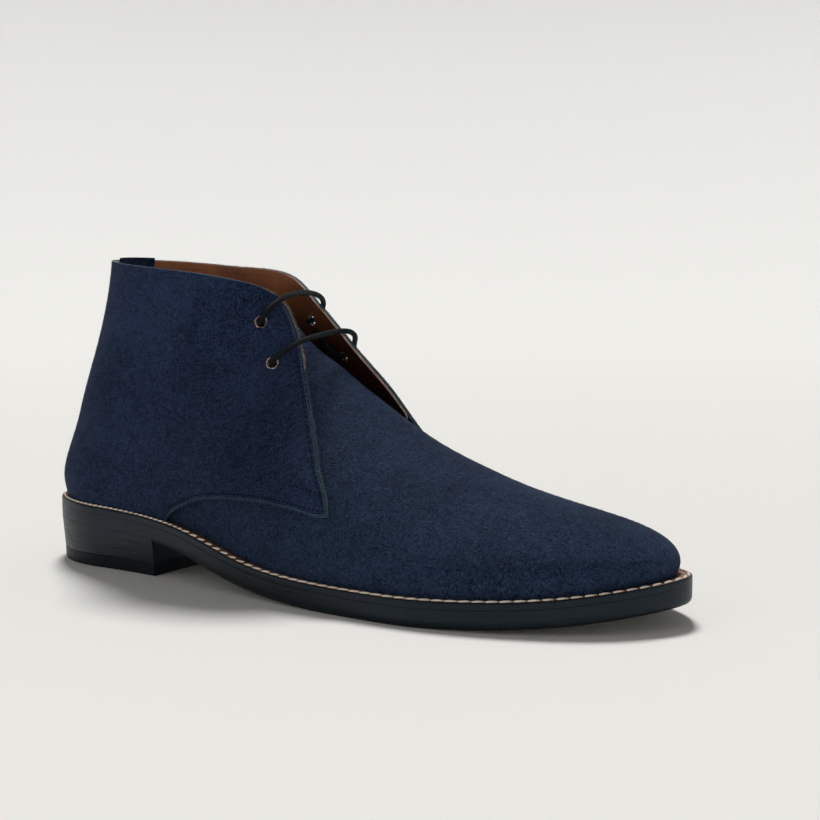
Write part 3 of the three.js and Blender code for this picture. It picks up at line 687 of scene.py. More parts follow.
def vamp_points():
    """Rows from the toe to the tongue's top, each from the outer side over to the inner."""
    u = even_sections("ridge", 0, TONGUE_TOP, VAMP_ROWS)[:, None]
    t = np.linspace(0, 1, VAMP_COLUMNS)[None, :]
    low = vamp_low(u)
    h = low + (1 - low) * np.sin(t * np.pi / 2)
    sides = []
    for side in (OUTER, INNER):
        under_flap = smooth(u, 9.6, 11.2) * (1 - 0.9 * smooth(h, 0.84, 0.97))
        tongue = np.maximum(under_flap, smooth(u, 11.2, 12.4))
        points, _ = skin("ridge", u, side, h, -0.9 * tongue - 0.5 * smooth(u, 11.6, 13.2))
        points[:, 0, 2] -= np.where(u[:, 0] < 12, CLEARANCE, 0)
        points[0] = (SOLE_LENGTH - MARGIN - TOE_BACK, swing(300.6), 18.0)
        sides.append(points)
    return np.concatenate([sides[0], sides[1][:, -2::-1]], axis=1)


vamp_grid = vamp_points()
finish_mesh(
    sheet_mesh(vamp_grid, VAMP_WALL),
    "vamp_and_tongue",
    (vamp_suede, lining_leather, cut_edge),
    ("tongue",),
)

# %% [markdown]
# ## The quarters
# Two quarters close the back of the boot and reach forward as the lacing flaps. Their outline is
# drawn in side view, as a pattern cutter draws it: the collar, the facing with its square tab, and
# the lower edge that sweeps back to the welt. A patch stretched between those four lines is then
# laid on the last, one half for each side of the foot, joined at the heel.

# %% The quarters' outline
COLLAR = {
    OUTER: ((51, 135.2), (76, 133.0), (100, 130.6), (114, 127.9), (121.5, 125.3), (127.3, 121.2)),
    INNER: ((51, 135.2), (76, 133.2), (97, 131.4), (107, 128.9), (117.2, 124.0), (129.0, 116.4)),
}
FACING = {
    OUTER: (
        (127.3, 121.2), (131.9, 114.0), (135.8, 105.6), (142.4, 91.4), (151.7, 74.9),
        (160.9, 60.6), (167.3, 50.6), (172.0, 43.6), (174.4, 37.0),
    ),
    INNER: (
        (129.0, 116.4), (138.0, 108.9), (148.6, 99.1), (162.2, 85.6), (171.6, 70.6),
        (178.2, 57.2), (182.6, 47.0), (184.5, 38.6),
    ),
}
LOWER_EDGE = {
    OUTER: (
        (80.6, 24.0), (85.2, 28.6), (94.2, 33.0), (103.8, 36.5), (113.5, 38.2), (128.0, 39.3),
        (140.5, 39.5), (152.0, 38.7), (161.8, 37.5), (170.0, 36.6), (174.4, 37.0),
    ),
    INNER: (
        (80.6, 24.0), (84, 28.7), (91.5, 33.8), (104, 38.4), (124, 40.2), (146, 40.0),
        (166, 39.0), (184.5, 38.6),
    ),
}
COLLAR_BACK = (34.68, 136.5)
QUARTER_PROUD = 1.6
SUEDE_WALL = 1.45
SIDE_SEAM_X = 80.6


def collar_line(side):
    return smooth_line((COLLAR_BACK,) + COLLAR[side])


def back_edge(z):
    """The x of the boot's back at a height."""
    return CORNER_X + back_x(z) - back_x(CORNER_Z)


print("collar in mm:", [round(line_length(collar_line(side)), 1) for side in (OUTER, INNER)])


# %% Stretch a patch between the lines
def quarter_lines(side, trim=None):
    """Bottom, collar, back and facing of a quarter, each from back to front or bottom to top."""
    feather_x = np.linspace(CORNER_X, SIDE_SEAM_X, 90)
    feather = np.stack([feather_x, seat_z(feather_x) + 0.05], -1)
    lower = smooth_line(LOWER_EDGE[side])
    bottom = np.concatenate([feather, lower[1:]])
    collar = collar_line(side)
    facing = smooth_line(FACING[side])[::-1]
    back_z = np.linspace(float(seat_z(CORNER_X)) + 0.05, COLLAR_BACK[1], 120)
    back = np.stack([back_edge(back_z), back_z], -1)
    if trim:
        collar = collar - (0, 0.3)
        facing[:, 0] -= trim(side, facing[:, 1])
        back[-1] = collar[0]
        facing[-1] = collar[-1]
    return bottom, collar, back, facing


def quarter_patch(side, columns, rows, trim=None):
    """Side-view points of a quarter as (rows, columns), bottom to collar and back to facing."""
    bottom, collar, back, facing = quarter_lines(side, trim)
    t = np.linspace(0, 1, columns)
    forward = t * t * 1.18 / (t + 0.18)
    upward = np.linspace(0, 1, rows)
    low, high = along(bottom, forward), along(collar, forward)
    left, right = along(back, upward), along(facing, upward)
    p, q = forward[None, :, None], upward[:, None, None]
    corners = (1 - p) * (1 - q) * low[0] + p * (1 - q) * low[-1]
    corners = corners + (1 - p) * q * high[0] + p * q * high[-1]
    between_ends = (1 - q) * low[None] + q * high[None]
    return between_ends + (1 - p) * left[:, None] + p * right[:, None] - corners


# %% Lay the patch on the last
def waves(points):
    """The slight unevenness of leather that has been pulled over a last and let go."""
    x, y, z = points[..., 0], points[..., 1], points[..., 2]
    roll = np.sin(x / 17 + z / 29) * np.sin(z / 21 - x / 47 + 1.3)
    return 0.22 * (roll + 0.5 * np.sin(x / 8.5 - z / 13 + y / 19)) * smooth(z, 40, 75)


def held(flat):
    """How firmly points keep their side view: 1 in front, and 0 where they slide round the heel."""
    return smooth(flat[..., 0], 50, 95)


def on_quarter(side, flat, stand_off, hold=None):
    """Places and outward normals on the quarters, seen from the side at the points of flat."""
    stand_off = np.broadcast_to(stand_off, flat.shape[:-1])
    aim = flat.copy()
    for _ in range(6):
        u, h = find_section("front", aim[..., 0], aim[..., 1])
        spot, normal = skin("front", u, side, h, stand_off)
        miss = flat - spot[..., [0, 2]]
        aim = aim + (miss if hold is None else miss * hold[..., None])
    return spot, normal


def quarter_points(columns, rows, offset, trim=None):
    """The whole band, from inner facing round the heel to outer. offset is a function of place."""
    halves = []
    for side in (INNER, OUTER):
        flat = quarter_patch(side, columns, rows, trim)
        spot, normal = on_quarter(side, flat, offset(side, flat), held(flat))
        halves.append(spot + normal * waves(spot)[..., None])
    return np.concatenate([halves[0][:, ::-1], halves[1][:, 1:]], axis=1)


# %% Cut the eyelets
EYELETS = (
    (OUTER, 121.5, 110.7), (OUTER, 128.5, 93.8), (INNER, 122.5, 110.5), (INNER, 140.5, 95.5)
)
EYELET_RADIUS = 2.45


def eyelet_holes(radius):
    """The four holes as (place, normal, radius) on the quarters' outside."""
    holes = []
    for side, x, z in EYELETS:
        spot, normal = on_quarter(side, np.array([[x, z]], float), QUARTER_PROUD)
        holes.append((spot[0], normal[0], radius))
    return holes


quarter_grid = quarter_points(112, 84, lambda side, flat: QUARTER_PROUD)
finish_mesh(
    sheet_mesh(quarter_grid, SUEDE_WALL, eyelet_holes(EYELET_RADIUS)),
    "quarters",
    (quarter_suede, lining_leather, cut_edge),
    ("upper",),
)

# %% [markdown]
# ## The lining
# The quarters are lined with smooth brown leather. It ends a hair below the collar, where its cut
# edge shows as a pale line. Lower down it steps inwards to pass inside the end of the vamp.

# %% Line the quarters
LINING_WALL = 0.85
# The heights of the throat's corner, below which the vamp lies between quarter and lining.
THROAT_Z = {OUTER: 92, INNER: 71}
STEP_FROM, STEP_RUN, STEP_IN = 60, 12, 2.1


def lining_offset(side, flat):
    """How far the lining's outside stands off the last: by the quarter, or inside the vamp."""
    line = STEP_FROM + (THROAT_Z[side] - STEP_FROM) * smooth(flat[..., 0], 84, 112)
    return 0.05 - STEP_IN * (1 - smooth(flat[..., 1], line - STEP_RUN, line))


def lining_trim(side, z):
    """The lining stops a hair inside the facing, and well inside it down beside the vamp."""
    return 0.3 + 7 * (1 - smooth(z, THROAT_Z[side] - 7, THROAT_Z[side] + 1))


lining_grid = quarter_points(96, 64, lining_offset, lining_trim)
finish_mesh(
    sheet_mesh(lining_grid, LINING_WALL, eyelet_holes(EYELET_RADIUS - 0.15)),
    "lining",
    (lining_lip, lining_leather, lining_lip),
    ("upper",),
)

# %% [markdown]
# A strip of the same suede covers the back seam inside the collar. It stands a little above the
# collar's edge, so from the front it shows as a dark patch behind the lining.

# %% The strip inside the heel
STRIP_REACH, STRIP_DEPTH, STRIP_RISE = 38.0, 3.2, 1.2


def strip_points(columns=34, rows=14):
    halves = []
    for side in (INNER, OUTER):
        top = collar_line(side)
        top = top[top[:, 0] < STRIP_REACH]
        across = np.linspace(0, 1, columns) ** 1.4
        rim = along(top, across)
        up = np.linspace(-STRIP_DEPTH, STRIP_RISE, rows)[:, None]
        start = back_edge(rim[:1, 1] + up[:, 0])
        x = start[:, None] + (rim[:, 0] - rim[0, 0])[None]
        flat = np.stack([x, rim[None, :, 1] + up], -1)
        spot, normal = on_quarter(side, flat, -LINING_WALL - 0.15, held(flat))
        halves.append(spot + normal * waves(spot)[..., None])
    return np.concatenate([halves[0][:, ::-1], halves[1][:, 1:]], axis=1)


finish_mesh(
    sheet_mesh(strip_points(), 0.8), "heel_strip", (quarter_suede,) * 3, ("upper",)
)

# %% [markdown]
# ## The nap itself
# At the outline of the boot and along its cut edges the nap is more than a pattern: single fibres
# stand out. Each is one tapered blade. All of them come from one long ladder of a grid with every
# second rung taken away, which is far quicker than making them one at a time.


# %% Helpers for fibres
chance = np.random.default_rng(11)


def add_blades(bm, roots, tips, halves):
    """One blade from each root to its tip. halves are vectors across the blade's foot."""
    feet = np.stack([roots - halves, roots + halves], 1)
    ends = np.stack([tips - halves * 0.3, tips + halves * 0.3], 1)
    add_grid(bm, np.stack([feet, ends], 1).reshape(-1, 2, 3))
    bm.faces.ensure_lookup_table()
    bmesh.ops.delete(bm, geom=bm.faces[:][1::2], context="FACES")


def scattered(grid, count, allowed):
    """Random places on a grid of points, evenly by area, with their normals."""
    a, b, c, d = grid[:-1, :-1], grid[:-1, 1:], grid[1:, :-1], grid[1:, 1:]
    normal = np.cross(b - a, c - a)
    area = np.linalg.norm(normal, axis=-1) * allowed(a)
    chosen = chance.choice(area.size, count, p=(area / area.sum()).ravel())
    i, j = np.unravel_index(chosen, area.shape)
    s, t = chance.random((2, count, 1))
    near, far = a[i, j] * (1 - s) + b[i, j] * s, c[i, j] * (1 - s) + d[i, j] * s
    spot = near * (1 - t) + far * t
    normal = normal[i, j] / np.linalg.norm(normal[i, j], axis=1, keepdims=True)
    return spot, normal


def brushed_way(spot, normal):
    """The way the nap lies: down and back, turned in patches, and a little for each fibre."""
    x, y, z = spot.T
    turn = 1.3 * np.sin(x / 21 + z / 34) + 0.9 * np.sin(z / 15 - x / 38 + y / 17)
    turn = turn + chance.normal(0, 0.7, len(spot))
    down = np.cross(normal, np.cross(np.array([-0.5, 0, -1.0]), normal))
    down /= np.maximum(np.linalg.norm(down, axis=1, keepdims=True), 1e-6)
    return down * np.cos(turn)[:, None] + np.cross(normal, down) * np.sin(turn)[:, None]


# %% Helpers for a field of nap
def nap_fibres(name, grid, count, allowed, material):
    """Short fibres that lie over a sheet, where allowed is not 0."""
    spot, normal = scattered(grid, count, allowed)
    way = brushed_way(spot, normal)
    rise = chance.uniform(0.15, 0.55, (count, 1))
    length = chance.uniform(0.35, 0.9, (count, 1))
    tips = spot + (way * np.cos(rise) + normal * np.sin(rise)) * length
    halves = np.cross(way, normal) * chance.uniform(0.045, 0.085, (count, 1))
    bm = bmesh.new()
    add_blades(bm, spot - normal * 0.05, tips, halves)
    finish_mesh(bm, name, (material,), ("upper",), smooth_faces=False)


def clear_of_eyelets(place):
    """1 away from the eyelets and 0 beside them, so no fibre crosses a hole."""
    near = np.ones(place.shape[:-1])
    for spot, normal, radius in eyelet_holes(EYELET_RADIUS):
        near *= np.linalg.norm(place - spot, axis=-1) > radius + 1.1
    return near


def in_view(place):
    """The part of the vamp that the quarters do not cover."""
    return place[..., 0] > 84


# %% Raise the nap
nap_fibres("quarter_nap", quarter_grid, 48000, clear_of_eyelets, quarter_suede)
nap_fibres("vamp_nap", vamp_grid, 52000, in_view, vamp_suede)

# %% Helpers for frayed edges
def frayed(side, line, turned, per_mm, low, high):
    """Fibres standing out of a cut edge, between two heights above the last."""
    count = int(line_length(line) * per_mm)
    share = np.sort(chance.random(count))
    rim = along(line, share)
    way = along(line, np.minimum(share + 0.004, 1)) - along(line, np.maximum(share - 0.004, 0))
    way /= np.linalg.norm(way, axis=1, keepdims=True)
    out_flat = np.stack([-way[:, 1], way[:, 0]], -1) * turned
    depth = chance.uniform(low, high, count)
    hold = held(rim)
    root, normal = on_quarter(side, rim - out_flat * 0.25, depth, hold)
    reach, _ = on_quarter(side, rim + out_flat * 0.6, depth, hold)
    out = (reach - root) / np.linalg.norm(reach - root, axis=1, keepdims=True)
    root = root + normal * waves(root)[:, None]
    blow = out + np.cross(out, normal) * chance.normal(0, 0.75, (count, 1))
    blow = blow + normal * chance.normal(0.25, 0.5, (count, 1))
    blow /= np.linalg.norm(blow, axis=1, keepdims=True)
    tips = root + blow * chance.uniform(0.4, 0.95, (count, 1))
    return root, tips, np.cross(blow, normal) * chance.uniform(0.04, 0.08, (count, 1))


def fray_piece(name, sets, material):
    bm = bmesh.new()
    add_blades(bm, *(np.concatenate(parts) for parts in zip(*sets)))
    finish_mesh(bm, name, (material,), ("upper",), smooth_faces=False)


# %% Fray the suede and the lining
suede_sets, lip_sets = [], []
for side in (OUTER, INNER):
    collar = collar_line(side)
    facing, lower = smooth_line(FACING[side]), smooth_line(LOWER_EDGE[side])
    low, high = QUARTER_PROUD - SUEDE_WALL, QUARTER_PROUD + 0.15
    suede_sets.append(frayed(side, collar, 1, 12, low, high))
    suede_sets.append(frayed(side, facing, 1, 16, low, high))
    suede_sets.append(frayed(side, lower, -1, 22, low, high))
    suede_sets.append(frayed(side, facing - (0.6, 0.2), 1, 16, QUARTER_PROUD, high))
    suede_sets.append(frayed(side, lower + (0, 0.6), -1, 22, QUARTER_PROUD, high))
    lip_sets.append(frayed(side, collar - (0, 0.35), 1, 16, -LINING_WALL, 0.1))
    lip = facing[facing[:, 1] > THROAT_Z[side] + 2] - (0.35, 0)
    lip_sets.append(frayed(side, lip, 1, 12, -LINING_WALL, 0.1))
fray_piece("edge_fray", suede_sets, cut_edge)
fray_piece("lip_fray", lip_sets, lining_lip)

# %% [markdown]
# ## The welt
# The welt is a narrow strip of leather sewn round the whole boot between upper and sole. Its
# profile is drawn once and carried round the outline of the sole, like a picture frame. The top
# keeps its tan colour while the edge is inked nearly black with the rest of the sole.


# %% The outline of the sole
def outline(inset, count):
    """A closed line round the sole: heel, inner side, toe, outer side and back to the heel."""
    x = inset + (SOLE_LENGTH - 2 * inset) * (1 - np.cos(np.linspace(0, np.pi, count))) / 2
    inner = np.stack([x, edge_y(INNER, x, inset)], -1)
    outer = np.stack([x, edge_y(OUTER, x, inset)], -1)
    return np.concatenate([inner, outer[-2::-1]])


def carried_round(profile, count):
    """A profile of (inset, height above the seat line) carried round the sole."""
    rings = []
    for inset, height in profile:
        ring = outline(inset, count)
        rings.append(np.column_stack([ring, seat_z(ring[:, 0]) + height]))
    return np.stack(rings, 1)


# %% Build the welt
WELT_THICK, WELT_WIDTH = 3, 9
WELT_PROFILE = (
    (0.06, -3.0), (0.01, -2.92), (0.0, -2.5), (0.0, -1.1), (0.06, -0.55), (0.25, -0.2), (0.62, 0.0),
    (1.2, 0.04), (1.8, -0.14), (2.4, 0.04), (3.6, 0.05), (WELT_WIDTH, 0.05), (WELT_WIDTH, -3.0),
    (0.06, -3.0),
)
TOP_STRIPS = range(6, 11)
bm = bmesh.new()
add_grid(bm, carried_round(WELT_PROFILE, 150))
for number, face in enumerate(bm.faces):
    face.material_index = 0 if number % (len(WELT_PROFILE) - 1) in TOP_STRIPS else 1
bmesh.ops.remove_doubles(bm, verts=bm.verts[:], dist=1e-6)
finish_mesh(bm, "welt", (welt_leather, sole_edge), ("welt",))

# %% [markdown]
# ## Outsole, heel and top piece
# These are solid slabs. Each one is a grid whose rows are slices across the sole: along the
# underside, up the edge, back over the top and down the other edge. Rolling the slices shut and
# merging the seam leaves a closed skin, and small steps in the edge make the lines between layers.


# %% Helpers for slabs
def slab_points(levels, stations, across=6, end=None, set_back=0):
    """Slices of a slab. levels are (inset, height of x) from the underside to the top."""

    def run(side, inset, height, share=1.0):
        stop = SOLE_LENGTH - inset if end is None else end
        x = inset + (stop - inset) * stations
        y = swing(x) + (edge_y(side, x, inset) - swing(x)) * share
        return np.stack([x - set_back * toe_back(x), y, height(x)], -1)

    shares = np.linspace(0, 1, across + 1)
    lines = [run(INNER, *levels[0], share) for share in shares[:-1]]
    lines += [run(INNER, *level) for level in levels]
    lines += [run(INNER, *levels[-1], share) for share in shares[-2:0:-1]]
    lines += [run(OUTER, *levels[-1], share) for share in shares[:-1]]
    lines += [run(OUTER, *level) for level in levels[::-1]]
    lines += [run(OUTER, *levels[0], share) for share in shares[-2::-1]]
    return np.stack(lines, 1)


def slab_mesh(points, open_end=False):
    """Merges the slices into a closed skin. A heel ends at a flat face, which is filled."""
    bm = bmesh.new()
    add_grid(bm, points)
    bmesh.ops.remove_doubles(bm, verts=bm.verts[:], dist=2e-6)
    if open_end:
        bmesh.ops.holes_fill(bm, edges=[edge for edge in bm.edges if edge.is_boundary])
        bmesh.ops.recalc_face_normals(bm, faces=bm.faces[:])
    return bm


def under_z(x):
    return np.maximum(tread_z(x), 0)


def sole_top(x):
    return seat_z(x) - WELT_THICK - 0.02


def above(curve, rise):
    """A height that follows a curve of x, a rise above it."""
    return lambda x: curve(x) + rise


def level_at(height):
    return lambda x: np.full_like(x, height)


def middle_z(x):
    return under_z(x) * 0.5 + sole_top(x) * 0.5


# %% Build the outsole
whole = (1 - np.cos(np.linspace(0, np.pi, 150))) / 2
outsole_levels = (
    (1.4, under_z),
    (0.9, above(under_z, 0.12)),
    (0.4, above(under_z, 0.6)),
    (0.05, above(under_z, 1.5)),
    (0.0, middle_z),
    (0.0, above(sole_top, -0.5)),
    (0.02, above(sole_top, -0.1)),
    (0.07, sole_top),
)
bm = slab_mesh(slab_points(outsole_levels, whole))
bm.normal_update()
for face in bm.faces:
    face.material_index = 1 if face.normal.z < -0.8 else 0
finish_mesh(bm, "outsole", (sole_edge, under_leather), ("outsole",))

# %% Stack the heel
TOP_PIECE_THICK, TOP_PIECE_INSET = 5.5, 1.2
LIFTS, LINE_DEPTH = 3, 0.07
HEEL_FOOT = TOP_PIECE_THICK + 0.1
heel_stations = 1 - np.cos(np.linspace(0, np.pi / 2, 46))


def heel_level(place):
    """A height of the heel: share place of the way up to the outsole's rounded edge."""
    return lambda x: HEEL_FOOT + (under_z(x) + 1.4 - HEEL_FOOT) * place


lift_share = np.linspace(0, 1, LIFTS + 1)
heel_levels = []
for low, high in zip(lift_share[:-1], lift_share[1:]):
    for place, dent in ((low, LINE_DEPTH), (low + 0.03, 0), (high - 0.03, 0), (high, LINE_DEPTH)):
        inset = TOP_PIECE_INSET * (1 - place) + dent * (place < 1)
        heel_levels.append((inset, heel_level(place)))
bm = slab_mesh(slab_points(heel_levels, heel_stations, end=HEEL_BREAST), open_end=True)
finish_mesh(bm, "heel_block", (sole_edge,), ("heel_block",), smooth_faces=False)

# %% Top piece and insole
top_piece_levels = (
    (2.2, level_at(0)),
    (1.6, level_at(0.15)),
    (1.4, level_at(0.7)),
    (TOP_PIECE_INSET, level_at(5.2)),
    (1.4, level_at(TOP_PIECE_THICK)),
)
bm = slab_mesh(slab_points(top_piece_levels, heel_stations, end=HEEL_BREAST), open_end=True)
finish_mesh(
    bm, "heel_top_piece", (rubber,), ("heel_top_piece",), smooth_faces=False
)
insole_levels = (
    (9.3, above(seat_z, -3)),
    (9.3, above(seat_z, 0.3)),
    (7.6, above(seat_z, 0.3)),
    (7.3, above(seat_z, 2.9)),
    (7.9, above(seat_z, 3.2)),
)
bm = slab_mesh(slab_points(insole_levels, whole[::2], set_back=1))
finish_mesh(bm, "insole", (lining_leather,), ("insole",))

# %% [markdown]
# ## Stitches
# A stitch is a short piece of thread pulled down at both ends, so a flattened little ball, long
# along the seam, is enough. A row is many of them at an even pitch, each turned to lie on the
# surface under it. The welt's stitches lean a little, which is the mark of a locked seam.


# %% Helpers for stitches
def spaced(line, pitch, start=0.0, stop=None):
    """Points at an even pitch along a dense line, and the direction of the line at each."""
    run = run_along(line)
    at = np.arange(start + pitch / 2, (run[-1] if stop is None else stop) - pitch / 3, pitch)

    def place(where):
        return np.stack([np.interp(where, run, line[:, i]) for i in range(line.shape[1])], -1)

    return place(at), place(at + 0.3) - place(at - 0.3)


def add_stitches(bm, spots, ways, normals, length, width, height, lean=0.0):
    """Adds one small flattened ball for each stitch. lean is in degrees."""
    for spot, way, normal in zip(spots, ways, normals):
        up = Vector(normal).normalized()
        across = up.cross(Vector(way)).normalized()
        ahead = across.cross(up)
        turn = Matrix((ahead, across, up)).transposed().to_4x4()
        turn = turn @ Matrix.Rotation(math.radians(lean), 4, "Z")
        scale = Matrix.Diagonal((length / 2 * MM, width / 2 * MM, height / 2 * MM, 1))
        place = Matrix.Translation(Vector((spot + TO_ROW) * MM)) @ turn @ scale
        bmesh.ops.create_uvsphere(bm, u_segments=8, v_segments=6, radius=1, matrix=place)


def offset_line(line, distance):
    """A side-view line moved to its left by distance."""
    way = np.gradient(line, axis=0)
    way /= np.linalg.norm(way, axis=1, keepdims=True)
    return line + np.stack([-way[:, 1], way[:, 0]], -1) * distance


# %% Stitch the welt
WELT_SEAM, HEEL_SEAM_END = 1.5, 92
HEEL_PITCH, HEEL_STITCH = 3.1, 2.9
FORE_PITCH, FORE_STITCH = 5.2, 5.3
WELT_THREAD, WELT_RISE, WELT_LEAN = 1.0, 1.15, 11
ring = outline(WELT_SEAM, 600)
seam = np.column_stack([ring, seat_z(ring[:, 0]) + 0.12])
bm = bmesh.new()
for pitch, length, at_heel in ((HEEL_PITCH, HEEL_STITCH, True), (FORE_PITCH, FORE_STITCH, False)):
    spots, ways = spaced(seam, pitch)
    keep = (spots[:, 0] < HEEL_SEAM_END) == at_heel
    upwards = np.zeros_like(spots) + (0, 0, 1)
    stitch = (length, WELT_THREAD, WELT_RISE, WELT_LEAN)
    add_stitches(bm, spots[keep], ways[keep], upwards[keep], *stitch)
finish_mesh(bm, "welt_stitches", (thread_cream,), ("welt",))

# %% Stitch the quarters
EDGE_SEAM, EDGE_PITCH = 2.1, 2.2
TAB_BAR = ((170.0, 45.0), (151.5, 47.6))
bm = bmesh.new()
for side in (OUTER, INNER):
    lower = offset_line(smooth_line(LOWER_EDGE[side]), EDGE_SEAM)
    facing = offset_line(smooth_line(FACING[side]), -EDGE_SEAM)
    rows = [(lower, 8.0, None), (facing, 1.5, line_length(facing) - 3.0)]
    if side == OUTER:
        rows.append((np.linspace(*TAB_BAR, 40), 0.0, None))
    for line, start, stop in rows:
        spots, ways = spaced(line, EDGE_PITCH, start, stop)
        ahead, _ = on_quarter(side, spots + ways, QUARTER_PROUD)
        places, normals = on_quarter(side, spots, QUARTER_PROUD)
        add_stitches(bm, places + normals * 0.02, ahead - places, normals, 1.7, 0.55, 0.5)
finish_mesh(bm, "quarter_stitches", (thread_navy,), ("upper",))

# %% Stitch the lining
COLLAR_SEAM, COLLAR_PITCH = 2.9, 2.6
bm = bmesh.new()
for side in (OUTER, INNER):
    collar = collar_line(side) - (0, COLLAR_SEAM)
    spots, ways = spaced(collar, COLLAR_PITCH, 6.0, line_length(collar) - 2.5)
    inside = lining_offset(side, spots) - LINING_WALL
    hold = held(spots)
    ahead, _ = on_quarter(side, spots + ways, inside, hold)
    places, normals = on_quarter(side, spots, inside, hold)
    places = places + normals * waves(places)[:, None]
    add_stitches(bm, places - normals * 0.03, ahead - places, -normals, 1.9, 0.6, 0.5)
finish_mesh(bm, "lining_stitches", (thread_brown,), ("upper",))

# %% [markdown]
# ## Eyelets and lace
# The eyelets are plain punched holes; their cut rims show the paler raw leather. The lace passes
# through all four of them. Its route was chosen point by point, and a smooth curve through
# the points is wrapped in a tube. The hidden ends stop behind the flap.

# %% Rims of the eyelets
RIM_STEPS, RIM_SIDES = 40, 8


def ragged_ring(number):
    """A closed ring whose thickness and reach vary a little, as torn fibres do."""
    rim = []
    around = np.linspace(0, 2 * np.pi, RIM_SIDES + 1)
    for angle in np.linspace(0, 2 * np.pi, RIM_STEPS + 1):
        ragged = 0.10 * math.sin(5 * angle + number) + 0.06 * math.sin(11 * angle + 2 * number)
        reach = EYELET_RADIUS + 0.05 + ragged * 0.6 + (0.28 + ragged * 0.5) * np.cos(around)
        up = -0.12 + (0.30 + ragged * 0.3) * np.sin(around)
        rim.append(np.stack([reach * math.cos(angle), reach * math.sin(angle), up], -1))
    return np.stack(rim).reshape(-1, 3)


bm = bmesh.new()
for number, (spot, normal, _) in enumerate(eyelet_holes(EYELET_RADIUS)):
    turn = Vector(normal).to_track_quat("Z", "Y").to_matrix().to_4x4()
    place = Matrix.Translation(Vector((spot + TO_ROW) * MM)) @ turn
    made = bmesh.ops.create_grid(bm, x_segments=RIM_SIDES, y_segments=RIM_STEPS, size=1)["verts"]
    for vert, point in zip(made, ragged_ring(number)):
        vert.co = place @ Vector(point * MM)
bmesh.ops.remove_doubles(bm, verts=bm.verts[:], dist=1e-6)
bmesh.ops.recalc_face_normals(bm, faces=bm.faces[:])
finish_mesh(bm, "eyelet_rims", (lining_lip,), ("upper",))

# %% The route of the lace
LACE_RADIUS = 1.17
LACE = (
    (124.8, 16.8, 106.6), (131.0, 16.2, 101.2), (136.8, 15.8, 96.4), (139.2, 17.2, 95.0),
    (140.4, 20.4, 95.9), (141.2, 22.8, 97.2), (143.8, 20.6, 100.6), (146.0, 17.6, 104.0),
    (145.8, 14.4, 105.8), (144.2, 10.5, 106.3), (142.8, 4.0, 105.8), (141.8, -2.5, 105.0),
    (140.4, -9.0, 103.8), (137.2, -15.4, 101.2), (132.6, -19.6, 97.0), (129.6, -20.4, 94.6),
    (128.6, -18.3, 93.8), (127.6, -15.1, 92.6), (126.4, -13.4, 94.8), (122.4, -12.6, 103.4),
    (119.6, -12.9, 109.2), (120.2, -15.0, 110.5), (121.4, -17.3, 110.8), (124.2, -18.4, 113.4),
    (127.8, -16.6, 117.6), (130.2, -13.6, 120.4), (130.6, -8.0, 121.9), (129.6, -0.5, 122.5),
    (128.6, 7.5, 122.5), (128.1, 13.5, 121.8), (128.0, 18.4, 120.0), (127.0, 21.4, 117.4),
    (125.3, 22.8, 114.4), (123.7, 23.7, 112.0), (122.4, 21.7, 110.5), (121.3, 18.4, 109.7),
    (120.8, 16.9, 109.4),
)
print("points on the lace:", len(LACE))


# %% Wrap the lace
def tube_points(route, radius, count, around):
    """A tube round a route, with rounded ends. The rings are turned as little as possible."""
    route = np.array(route, float)
    run = run_along(route)
    at = np.linspace(0, run[-1], count)
    centre = np.stack([spline(run, route[:, i])(at) for i in range(3)], -1)
    way = np.gradient(centre, axis=0)
    way /= np.linalg.norm(way, axis=1, keepdims=True)
    side = np.zeros_like(way)
    side[0] = np.cross(way[0], (0, 0, 1))
    for i in range(1, count):
        side[i] = side[i - 1] - way[i] * np.dot(side[i - 1], way[i])
        side[i] /= np.linalg.norm(side[i])
    up = np.cross(way, side)
    from_end = np.minimum(at, run[-1] - at)
    thick = radius * np.sqrt(1 - (1 - np.clip(from_end / radius, 0, 1)) ** 2)
    turns = np.linspace(0, 2 * np.pi, around + 1)
    ring = side[:, None] * np.cos(turns)[:, None] + up[:, None] * np.sin(turns)[:, None]
    return centre[:, None] + ring * thick[:, None, None], line_length(centre)


def tube_mesh(points):
    """The tube's closed skin, with a UV map that runs around and along it."""
    bm = bmesh.new()
    bm.loops.layers.uv.new("UVMap")
    add_grid(bm, points)
    bmesh.ops.remove_doubles(bm, verts=bm.verts[:], dist=1e-6)
    bmesh.ops.recalc_face_normals(bm, faces=bm.faces[:])
    return bm


lace_points, lace_length = tube_points(LACE, LACE_RADIUS, 420, 16)
finish_mesh(tube_mesh(lace_points), "lace", (waxed_cord,), ("lace",))
print("lace in mm:", round(lace_length, 1))

# %% [markdown]
# ## Floor, light and camera
# The boot stands on a plain pale floor. The floor is a shallow bowl, turned like a plate: flat
# where the boot stands and rising far away, so no horizon shows. Large soft lights suit a dark
# napped leather, which a small lamp would turn into black holes and sparkles.

# %% The paper of the floor
paper, paper_in, paper_out = group_with(
    "plain_paper",
    (
        ("Vector", "Vector", None),
        ("Tone", "Color", (0.825, 0.815, 0.78, 1)),
        ("Far Tone", "Color", (0.85, 0.845, 0.82, 1)),
        ("Far Glow", "Color", (0.155, 0.153, 0.147, 1)),
    ),
    (("Color", "Color"), ("Emission", "Color")),
)
distance = node(paper, "VectorMath", {"operation": "LENGTH"}, i0=paper_in.outputs["Vector"])
far_share = spread(paper, distance.outputs["Value"], 0.4, 4.6)
tone = mix_colour(paper, far_share, paper_in.outputs["Tone"], paper_in.outputs["Far Tone"])
glow = mix_colour(paper, far_share, (0, 0, 0, 1), paper_in.outputs["Far Glow"])
paper.links.new(tone, paper_out.inputs["Color"])
paper.links.new(glow, paper_out.inputs["Emission"])

